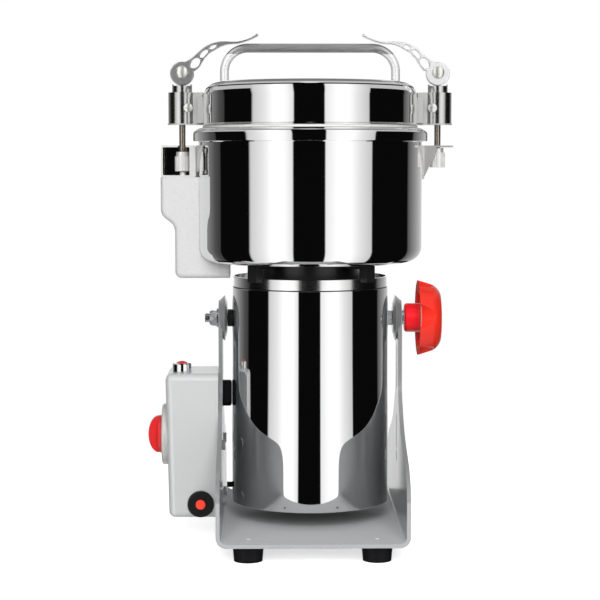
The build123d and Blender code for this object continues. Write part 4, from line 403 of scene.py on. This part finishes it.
GREY = paint("grey_paint", (0.565, 0.575, 0.577), 0.38, 0.04, 0.00010, 0.20, 0.4)
# The stand's paint has a dark base colour as painted shade, standing in for the shade inside the
# bracket; its coat keeps the arms bright where seen at a slant.
SHADED_FRAME_GREY = paint("frame_paint_painted_shade", (0.34, 0.347, 0.352), 0.34, 0.05, 0.00010, 0.50, 1.0)
CAST_GREY = paint("cover_paint", (0.60, 0.605, 0.60), 0.52, 0.09, 0.00040, 0.15, speck=0.80)
DIAL = paint("silver_dial", (0.58, 0.575, 0.57), 0.36, 0.05, 0.00005, 0.35)
BLACK = plastic(
    "black_plastic", (0.004, 0.004, 0.0045), 0.36, 0.50, 1500.0, 0.00004, edge=0.3 * MM
)
CASTING = plastic(
    "black_casting", (0.012, 0.012, 0.013), 0.24, 0.40, 700.0, 0.00008, edge=0.4 * MM
)
RUBBER = plastic("rubber", (0.004, 0.0042, 0.005), 0.55, 0.7, 1800.0, 0.00005, edge=0.6 * MM)
RED_KNOB = plastic("red_knob", (0.78, 0.026, 0.013), 0.20, 0.28, 260.0, 0.00002)
RED_TIMER = plastic("red_timer", (0.64, 0.012, 0.014), 0.28, 0.42, 500.0, 0.00003, 0.1, 0.5 * MM)
RED_BUTTON = plastic("red_button", (0.95, 0.06, 0.03), 0.3, 0.4, 800.0, 0.00003)
RED_LENS = plastic("red_lens", (0.60, 0.012, 0.010), 0.06, 0.12, 200.0, 0.00001, 0.6)
WHITE = plastic("white_plastic", (0.82, 0.82, 0.80), 0.35, 0.5, 900.0, 0.00003)
SILICONE = plastic("silicone", (0.74, 0.74, 0.71), 0.35, 0.5, 900.0, 0.00003)

# Shine that differs from a helper's own, the same all over the surface
for finish, socket, value in (
    (RUBBER, "Specular IOR Level", 0.2),
    (RED_KNOB, "Specular IOR Level", 0.3),
    (SHADED_FRAME_GREY, "Specular IOR Level", 0.0),
    (PIN_STEEL, "Metallic", 0.88),
):
    finish.node_tree.nodes["Principled BSDF"].inputs[socket].default_value = value

FINISHES = {
    "mirror_steel": MIRROR,
    "polished_bracket": POLISHED,
    "handle_steel": ROD_FINISH,
    "lever_steel": LEVER,
    "rod_steel": THREAD,
    "zinc": ZINC,
    "knurled_nut": NUT,
    "blade_steel": BLADE,
    "bearing_steel": ZINC,
    "iron_core": IRON,
    "copper": COPPER,
    "grey_paint": GREY,
    "silver_dial": DIAL,
    "black_plastic": BLACK,
    "black_casting": CASTING,
    "rubber": RUBBER,
    "red_knob": RED_KNOB,
    "red_timer": RED_TIMER,
    "red_button": RED_BUTTON,
    "red_lens": RED_LENS,
    "white_plastic": WHITE,
    "silicone": SILICONE,
}


def vary_finishes():
    """Finishes that change along one piece: bare edges and the hub's red; and painted light and
    shade: darker lugs and frame lip, a lighter plate and handle legs, and a painted highlight on
    the knob's rim.
    """
    tree = BARREL.node_tree
    across = math_node(tree, "SUBTRACT", axis(tree, "X"), AXIS_X)
    along = math_node(tree, "SUBTRACT", math_node(tree, "ABSOLUTE", across), CLAMP_X)
    deep = axis(tree, "Y")
    squares = [math_node(tree, "MULTIPLY", part, part) for part in (along, deep)]
    apart = math_node(tree, "SQRT", math_node(tree, "ADD", *squares))
    lug = math_node(tree, "GREATER_THAN", apart, BARREL_R + SHADED_LUG_FROM)
    # The lug gets a darker, half-metallic mid-grey that stands in for its shade: painted shade.
    where(BARREL, lug, (0.50, 0.50, 0.49), 0.34, 0.45)

    tree = HOUSING.node_tree
    ahead = math_node(tree, "LESS_THAN", axis(tree, "Y"), -HOUSING_FRONT)
    inward = math_node(tree, "GREATER_THAN", axis(tree, "X"), AXIS_X - STRIP_OUT)
    strip = math_node(tree, "MULTIPLY", ahead, inward)
    rims = math_node(tree, "LESS_THAN", axis(tree, "Y"), BARE_EDGE - HOUSING_HALF)
    bare = math_node(tree, "MAXIMUM", strip, rims)
    where(HOUSING, bare, (0.62, 0.62, 0.61), 0.36, 0.25)

    tree = SHADED_FRAME_GREY.node_tree
    # The plate gets a rougher finish without metal or coat, and a lighter colour than the arms as
    # painted light on its top.
    plate = math_node(tree, "LESS_THAN", axis(tree, "Z"), PLATE_TOP + SCREW_RISE)
    lip = math_node(tree, "LESS_THAN", axis(tree, "Y"), FRAME_LOW[1] + SHADED_LIP_DEPTH)
    where(SHADED_FRAME_GREY, plate, (0.50, 0.51, 0.515), 0.6, 0.0, 0.0)
    # The front lip, facing the front lamp, is painted darker than the plate as painted shade.
    where(SHADED_FRAME_GREY, lip, (0.37, 0.375, 0.38), 0.45, 0.1, 0.0)

    tree = ROD_FINISH.node_tree
    # The legs of the one bent rod get a lighter, less metallic colour than its top bar: painted
    # light.
    legs = math_node(tree, "LESS_THAN", axis(tree, "Z"), HANDLE_HIGH[2] - PAINTED_LIGHT_LEG_DROP)
    where(ROD_FINISH, legs, (0.84, 0.84, 0.84), 0.34, 0.50)

    tree = RED_KNOB.node_tree
    hub = math_node(tree, "LESS_THAN", axis(tree, "X"), KNOB_LOW[0] + HUB_END - HUB_EDGE)
    where(RED_KNOB, hub, (0.78, 0.008, 0.016), 0.30, 0.0)
    # A thin paler band where the hub meets the head: a painted highlight on the knob's rim.
    apart = math_node(tree, "SUBTRACT", axis(tree, "X"), KNOB_LOW[0] + HUB_END)
    rim = math_node(tree, "LESS_THAN", math_node(tree, "ABSOLUTE", apart), KNOB_RIM_HIGHLIGHT_HALF)
    where(RED_KNOB, rim, (0.80, 0.06, 0.045), 0.85, 0.0)


# Nodes whose finish differs a little from the rest of their slot
SPECIAL = {
    "motor_top_cup": SATIN_RING,
    "left_clamp_barrel": BARREL,
    "right_clamp_barrel": BARREL,
    "saddle_collars": BARREL,
    "indicator_bezel": CHROME,
    "left_lever_pin": PIN_STEEL,
    "right_lever_pin": PIN_STEEL,
    # The right lever's near-white paint is a painted reflection.
    "right_cam_lever": PAINTED_REFLECTION_LEVER,
    "interlock_cover": CAST_GREY,
    "base_frame": SHADED_FRAME_GREY,
    "left_latch_housing": HOUSING,
    "stand_screws": SHADED_FRAME_GREY,
}


def dress_nodes():
    """Give every CAD node the finish of its material slot, or its own."""
    for name, slot in SLOTS.items():
        materials = NODES[name].data.materials
        materials.clear()
        materials.append(SPECIAL.get(name, FINISHES[slot]))


# Mesh helpers and pieces
def corner_arc(centre, radius, start, end, steps=10):
    """Points of an arc in the profile's plane, angles in degrees."""
    points = []
    for step in range(steps + 1):
        angle = radians(start + (end - start) * step / steps)
        points.append((centre[0] + radius * cos(angle), centre[1] + radius * sin(angle)))
    return points


def turned(name, profile, finish, centre=(AXIS_X, 0.0), turns=256, place=None):
    """A mesh of revolution from (radius, height) points, and its placing if it isn't upright."""
    mesh = bpy.data.meshes.new(name)
    verts = []
    for step in range(turns):
        angle = 2 * pi * step / turns
        for radius, height in profile:
            verts.append((centre[0] + radius * cos(angle), centre[1] + radius * sin(angle), height))
    count = len(profile)
    faces = []
    for step in range(turns):
        for row in range(count):
            first = step * count + row
            second = step * count + (row + 1) % count
            third = ((step + 1) % turns) * count + (row + 1) % count
            fourth = ((step + 1) % turns) * count + row
            faces.append((first, fourth, third, second))
    mesh.from_pydata(verts, [], faces)
    if place is not None:
        mesh.transform(place)
    mesh.update()
    piece = add_object(name, mesh)
    mesh.materials.append(finish)
    tidy_mesh(piece)
    return piece


def ring_faces(rings, turns):
    """Faces between rings of points that follow each other."""
    faces = []
    for ring in range(rings):
        for turn in range(turns):
            first = ring * turns + turn
            second = ring * turns + (turn + 1) % turns
            faces.append((first, second, second + turns, first + turns))
    return faces


def tidy_mesh(piece, angle=35.0):
    """Outward faces, smooth shading, and sharp edges past the angle."""
    mesh = piece.data
    work = bmesh.new()
    work.from_mesh(mesh)
    bmesh.ops.remove_doubles(work, verts=work.verts, dist=0.0005 * MM)
    bmesh.ops.delete(work, geom=[e for e in work.edges if not e.link_faces], context="EDGES")
    bmesh.ops.recalc_face_normals(work, faces=work.faces)
    for face in work.faces:
        face.smooth = True
    for edge in work.edges:
        edge.smooth = edge.calc_face_angle(0.0) < radians(angle)
    work.to_mesh(mesh)
    work.free()


def make_bowl():
    z0 = BOWL_LOW[2]
    z1 = BOWL_HIGH[2]
    rim_r = (BOWL_HIGH[0] - BOWL_LOW[0]) / 2
    rim_z = z1 - RIM_H
    flat = BOWL_R - BOWL_CORNER
    inner_r = BOWL_R - SHEET_WALL
    edge = 0.8 * MM
    profile = [(SHAFT_HOLE_R, z0)]
    profile += corner_arc((flat, z0 + BOWL_CORNER), BOWL_CORNER, -90, 0, 20)
    profile += [(BOWL_R, rim_z - RIM_TUCK), (BOWL_R + RIM_LEAN, rim_z)]
    profile += corner_arc((rim_r - edge, rim_z + edge), edge, -90, 0, 5)
    shoulder = rim_r - RIM_TOP_R
    for step in range(19):
        angle = radians(5 * step)
        profile.append(
            (
                RIM_TOP_R + shoulder * cos(angle),
                rim_z + RIM_BAND + (RIM_H - RIM_BAND) * sin(angle),
            )
        )
    profile += corner_arc((MOUTH_R + edge, z1 - edge), edge, 90, 180, 5)
    profile += [(MOUTH_R, z1 - MOUTH_T), (inner_r, z1 - MOUTH_T - MOUTH_SLOPE)]
    profile += corner_arc(
        (flat, z0 + BOWL_CORNER), BOWL_CORNER - SHEET_WALL, 0, -90, 16
    )
    profile += [(SHAFT_HOLE_R, z0 + SHEET_WALL)]
    bowl = turned("bowl_shell", profile, MIRROR)
    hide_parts("bowl")
    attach(bowl, "mill")


def make_tube():
    z0, z1 = TUBE_LOW[2], TUBE_HIGH[2]
    edge = 0.4 * MM
    seam = 0.9 * MM
    inner = TUBE_R - SHEET_WALL
    profile = corner_arc((TUBE_R - edge, z0 + edge), edge, -90, 0, 4)
    profile += corner_arc((TUBE_R - edge, z1 - seam - edge), edge, 0, 90, 4)
    profile += [(inner, z1 - seam), (inner, z0)]
    tube = turned("tube_shell", profile, MIRROR)
    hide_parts("motor_tube")
    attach(tube, "mill")
    joint = [
        (inner, z1 - seam),
        (TUBE_R - seam, z1 - seam),
        (TUBE_R - 1.4 * seam, z1),
        (inner, z1),
    ]
    dark = turned("tube_joint", joint, BLACK)
    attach(dark, "mill")


def make_pins():
    """Lever pins with domed heads, and the cross-slot screws of the clamp barrels."""
    dome = []
    for step in range(11):
        angle = radians(9 * step)
        height = LEVER_HALF + PIN_EDGE + (PIN_DOME - PIN_EDGE) * sin(angle)
        dome.append((PIN_HEAD_R * cos(angle), height))
    seat = (PIN_HEAD_R - PIN_UNDERCUT, LEVER_HALF)
    upper = [(PIN_R, 0.0), (PIN_R, LEVER_HALF), seat] + dome
    profile = [(radius, -height) for radius, height in reversed(upper)] + upper[1:]
    for side in ("left", "right"):
        low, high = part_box(f"{side}_lever_pin")
        middle = (Vector(low) + Vector(high)) / 2
        place = Matrix.Translation(middle) @ Matrix.Rotation(radians(90), 4, "X")
        pin = turned(f"{side}_domed_pin", profile, PIN_STEEL, (0.0, 0.0), 64, place)
        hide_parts(f"{side}_lever_pin")
        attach(pin, f"{side}_lever")

    heads = []
    screws_z = (SCREWS_LOW[2] + SCREWS_HIGH[2]) / 2
    for side, way in (("left", -1), ("right", 1)):
        centre = Vector((AXIS_X + way * SCREW_X, SCREWS_LOW[1], screws_z))
        heads.append(screw_head(f"clamp_screw_{side}", centre))
    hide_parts("clamp_screws")
    for piece in heads:
        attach(piece, "lid")


def make_levers():
    """The cam levers with their front and back outlines rounded over."""
    for side in ("left", "right"):
        node = f"{side}_cam_lever"
        mesh = NODES[node].data.copy()
        piece = add_object(f"{side}_eased_lever", mesh)
        work = bmesh.new()
        work.from_mesh(mesh)
        bmesh.ops.remove_doubles(work, verts=work.verts, dist=0.001 * MM)
        for way in (-1, 1):
            ease_outline(work, way)
        bmesh.ops.delete(work, geom=[e for e in work.edges if not e.link_faces], context="EDGES")
        bmesh.ops.recalc_face_normals(work, faces=work.faces)
        for face in work.faces:
            face.smooth = abs(face.normal.y) < 0.999
        for edge in work.edges:
            edge.smooth = edge.calc_face_angle(0.0) < radians(40)
        work.to_mesh(mesh)
        work.free()
        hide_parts(node)
        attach(piece, f"{side}_lever")


def ease_outline(work, way, steps=4):
    """Round over the outline of the flat side that faces forward or back."""
    # A dict, not a set, keeps the faces in order, so every run makes the same mesh
    flat = dict.fromkeys(face for face in work.faces if face.normal.y * way > 0.999)
    outline = [e for e in work.edges if sum(face in flat for face in e.link_faces) == 1]
    outward = {}
    for edge in outline:
        wall = next(face for face in edge.link_faces if face not in flat)
        for vert in edge.verts:
            outward[vert] = outward.get(vert, Vector()) + wall.normal
    start = {}
    for vert, normal in outward.items():
        normal.y = 0.0
        normal.normalize()
        start[vert] = vert.co.copy()
        vert.co.y -= way * EASE
    rings = [{vert: vert for vert in outward}]
    for step in range(1, steps + 1):
        angle = 0.5 * pi * step / steps
        back = Vector((0.0, -way * EASE * (1 - sin(angle)), 0.0))
        rings.append(
            {
                vert: work.verts.new(start[vert] + back - normal * EASE * (1 - cos(angle)))
                for vert, normal in outward.items()
            }
        )
    corners = [[rings[-1].get(vert, vert) for vert in face.verts] for face in flat]
    bmesh.ops.delete(work, geom=list(flat), context="FACES_ONLY")
    for verts in corners:
        work.faces.new(verts)
    for edge in outline:
        first, second = edge.verts
        for inner, outer in zip(rings[:-1], rings[1:]):
            work.faces.new((inner[first], inner[second], outer[second], outer[first]))
    work.normal_update()


def screw_head(name, face):
    """A pan head that faces forward, with a cross recess; face is the middle of its front."""
    rings, turns = 18, 64
    verts = []
    for ring in range(rings + 1):
        radius = SCREW_R * min(ring, rings - 1) / (rings - 1)
        for turn in range(turns):
            angle = 2 * pi * turn / turns
            x, z = radius * cos(angle), radius * sin(angle)
            cross = min(abs(x), abs(z)) < CROSS_HALF and radius < CROSS_REACH
            depth = SCREW_CROWN * (radius / SCREW_R) ** 2 + (CROSS_DEPTH if cross else 0.0)
            if ring == rings:
                depth = SCREW_DEPTH
            verts.append((face.x + x, face.y + depth, face.z + z))
    mesh = bpy.data.meshes.new(name)
    mesh.from_pydata(verts, [], ring_faces(rings, turns))
    piece = add_object(name, mesh)
    mesh.materials.append(PIN_STEEL)
    tidy_mesh(piece)
    return piece


def make_lid():
    z0, z1 = LID_LOW[2], LID_HIGH[2]
    flange_r = (LID_HIGH[0] - LID_LOW[0]) / 2
    top_z = z1 - LID_CORNER
    inner = LID_R - SHEET_WALL
    edge = 0.7 * MM
    lip = MOUTH_R - LIP_IN
    profile = [(lip, z0)]
    profile += corner_arc((flange_r - edge, z0 + edge), edge, -90, 90, 8)
    profile += corner_arc((LID_R + edge, z0 + FLANGE_T + edge), edge, 270, 180, 5)
    profile += corner_arc((LID_R - LID_CORNER, top_z), LID_CORNER, 0, 90, 20)
    profile += [(0.0, z1), (0.0, z1 - SHEET_WALL)]
    profile += corner_arc((LID_R - LID_CORNER, top_z), LID_CORNER - SHEET_WALL, 90, 0, 16)
    profile += [(inner, z0 + FLANGE_T), (lip, z0 + FLANGE_T)]
    lid = turned("lid_shell", profile, MIRROR)
    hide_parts("lid")
    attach(lid, "lid")


def make_world():
    """White for the camera, mirrors and glass, and a dimmer fill for the rest."""
    world = bpy.data.worlds.new("studio")
    bpy.context.scene.world = world
    world.use_nodes = True
    tree = world.node_tree
    tree.nodes.clear()
    out = tree.nodes.new("ShaderNodeOutputWorld")
    background = tree.nodes.new("ShaderNodeBackground")
    background.inputs["Color"].default_value = (1, 1, 1, 1)
    paths = tree.nodes.new("ShaderNodeLightPath")
    camera, glossy = paths.outputs["Is Camera Ray"], paths.outputs["Is Glossy Ray"]
    seen = math_node(tree, "MAXIMUM", camera, glossy)
    seen = math_node(tree, "MAXIMUM", seen, paths.outputs["Is Transmission Ray"])
    strength = to_range(tree, seen, AMBIENT, 1.0)
    tree.links.new(strength, background.inputs["Strength"])
    tree.links.new(background.outputs[0], out.inputs["Surface"])


def make_floor():
    """A pale floor that keeps the shadow and melts into the white."""
    floor_mesh = bpy.data.meshes.new("floor")
    half = FLOOR_FADE[1] + FLOOR_MARGIN
    floor_mesh.from_pydata(
        [(-half, -half, 0), (half, -half, 0), (half, half, 0), (-half, half, 0)],
        [],
        [(0, 1, 2, 3)],
    )
    floor = add_object("floor", floor_mesh)
    mat, tree, bsdf = material("floor_white")
    tree.nodes.remove(bsdf)
    out = tree.nodes["Material Output"]
    diffuse = tree.nodes.new("ShaderNodeBsdfDiffuse")
    diffuse.inputs["Color"].default_value = (0.9, 0.9, 0.9, 1)
    glow = tree.nodes.new("ShaderNodeEmission")
    paths = tree.nodes.new("ShaderNodeLightPath")
    mix = tree.nodes.new("ShaderNodeAddShader")
    gain = to_range(tree, paths.outputs["Is Camera Ray"], 0.0, FLOOR_GLOW)
    tree.links.new(gain, glow.inputs["Strength"])
    tree.links.new(diffuse.outputs[0], mix.inputs[0])
    tree.links.new(glow.outputs[0], mix.inputs[1])
    coords = tree.nodes.new("ShaderNodeTexCoord")
    distance = tree.nodes.new("ShaderNodeVectorMath")
    distance.operation = "LENGTH"
    tree.links.new(coords.outputs["Object"], distance.inputs[0])
    fade = tree.nodes.new("ShaderNodeMapRange")
    fade.interpolation_type = "SMOOTHSTEP"
    fade.inputs["From Min"].default_value, fade.inputs["From Max"].default_value = FLOOR_FADE
    tree.links.new(distance.outputs["Value"], fade.inputs["Value"])
    clear = tree.nodes.new("ShaderNodeBsdfTransparent")
    edge = tree.nodes.new("ShaderNodeMixShader")
    tree.links.new(fade.outputs["Result"], edge.inputs[0])
    tree.links.new(mix.outputs[0], edge.inputs[1])
    tree.links.new(clear.outputs[0], edge.inputs[2])
    tree.links.new(edge.outputs[0], out.inputs["Surface"])
    floor_mesh.materials.append(mat)
    floor.visible_glossy = False


def to_height(tree, value):
    """Turn a slope, -1 to 1, into a ramp's 0 to 1."""
    return math_node(tree, "MULTIPLY", math_node(tree, "ADD", value, 1.0), 0.5)


def slope_place(slope):
    """The same for a plain number."""
    return 0.5 + 0.5 * slope


def make_surround():
    """A shell of soft boxes and black flats round the mill that only reflections see."""
    rows, columns = 48, 96
    verts = []
    for row in range(rows + 1):
        elevation = radians(SURROUND_END * (2 * row / rows - 1))
        for column in range(columns):
            azimuth = 2 * pi * column / columns
            verts.append(
                (
                    SURROUND_R * cos(elevation) * sin(azimuth),
                    -SURROUND_R * cos(elevation) * cos(azimuth),
                    SURROUND_R * sin(elevation),
                )
            )
    mesh = bpy.data.meshes.new("surround")
    mesh.from_pydata(verts, [], ring_faces(rows, columns))
    shell = add_object("surround", mesh)
    shell.location = (AXIS_X, 0, SURROUND_Z)
    shell.visible_camera = False
    shell.visible_diffuse = False
    shell.visible_shadow = False
    shell.visible_transmission = False

    mat, tree, bsdf = material("surround")
    tree.nodes.remove(bsdf)
    out = tree.nodes["Material Output"]
    side = math_node(tree, "DIVIDE", axis(tree, "X"), SURROUND_R)
    back = math_node(tree, "DIVIDE", axis(tree, "Y"), SURROUND_R)
    height = math_node(tree, "DIVIDE", axis(tree, "Z"), SURROUND_R)
    ahead = math_node(tree, "SUBTRACT", 1.0, back)
    turn = math_node(tree, "ARCTAN2", side, ahead)
    place = math_node(tree, "MULTIPLY_ADD", turn, 1.0 / pi)
    place.node.inputs[2].default_value = 0.5
    stops = [((angle + 180) / 360, grey(level)) for angle, level in SURROUND]
    around = ramp(tree, place, stops)
    length = math_node(tree, "SQRT", math_node(tree, "MULTIPLY", ahead, 2.0))
    slope = math_node(tree, "DIVIDE", height, length)

    apart = math_node(tree, "GREATER_THAN", math_node(tree, "ABSOLUTE", turn), radians(SIDE_FROM))
    lift = math_node(tree, "MULTIPLY", math_node(tree, "GREATER_THAN", slope, FLAT_TOP), apart)
    panels = math_node(tree, "MAXIMUM", around, math_node(tree, "MULTIPLY", lift, BRIGHT))
    upward = to_height(tree, slope)
    bands = ramp(
        tree,
        upward,
        [
            (slope_place(DARK_FOOT), grey(UNDER)),
            (slope_place(DARK_FOOT + 2 * SOFT), grey(0)),
            (slope_place(DARK_TOP - SOFT), grey(0)),
            (slope_place(DARK_TOP + SOFT), grey(BRIGHT)),
            (slope_place(BRIGHT_TOP - SOFT), grey(BRIGHT)),
            (slope_place(BRIGHT_TOP + SOFT), grey(CEILING)),
        ],
    )
    window = ramp(
        tree,
        upward,
        [
            (slope_place(PANEL_FOOT - SOFT), grey(0)),
            (slope_place(PANEL_FOOT + SOFT), grey(1)),
            (slope_place(PANEL_TOP - SOFT), grey(1)),
            (slope_place(PANEL_TOP + SOFT), grey(0)),
        ],
    )
    level = math_node(tree, "ADD", math_node(tree, "MULTIPLY", panels, window), bands)
    rear = math_node(tree, "GREATER_THAN", back, REAR_FROM)
    level = math_node(tree, "MAXIMUM", level, math_node(tree, "MULTIPLY", rear, REAR))
    glow = tree.nodes.new("ShaderNodeEmission")
    tree.links.new(level, glow.inputs["Strength"])
    tree.links.new(glow.outputs[0], out.inputs["Surface"])
    mesh.materials.append(mat)


def area_light(name, place, aim, size, power):
    data = bpy.data.lights.new(name, "AREA")
    data.shape = "RECTANGLE"
    data.size, data.size_y = size
    data.energy = power
    lamp = add_object(name, data)
    lamp.location = place
    lamp.rotation_euler = (Vector(aim) - Vector(place)).to_track_quat("-Z", "Y").to_euler()
    lamp.visible_glossy = False


def make_lights():
    middle = (AXIS_X, 0, 0.22)
    area_light("front", (0.0, -2.2, 1.15), middle, (1.3, 1.5), 62.0)
    area_light("key_left", (-1.6, -1.2, 0.9), middle, (0.8, 1.0), 2.0)
    area_light("key_right", (1.6, -1.2, 0.8), middle, (0.8, 1.0), 2.0)
    area_light("top", (0.0, -0.9, 1.8), middle, (1.6, 1.6), 4.0)
    area_light("back", (0.0, 2.2, 0.7), middle, (1.4, 1.0), 26.0)


make_camera()
vary_finishes()
dress_nodes()
make_bowl()
make_tube()
make_lid()
make_pins()
make_levers()
# The photograph shows none of the knob mirrored in the tube
NODES["lock_knob"].visible_glossy = False
make_world()
make_floor()
make_surround()
make_lights()
bpy.context.scene.view_settings.view_transform = "Standard"
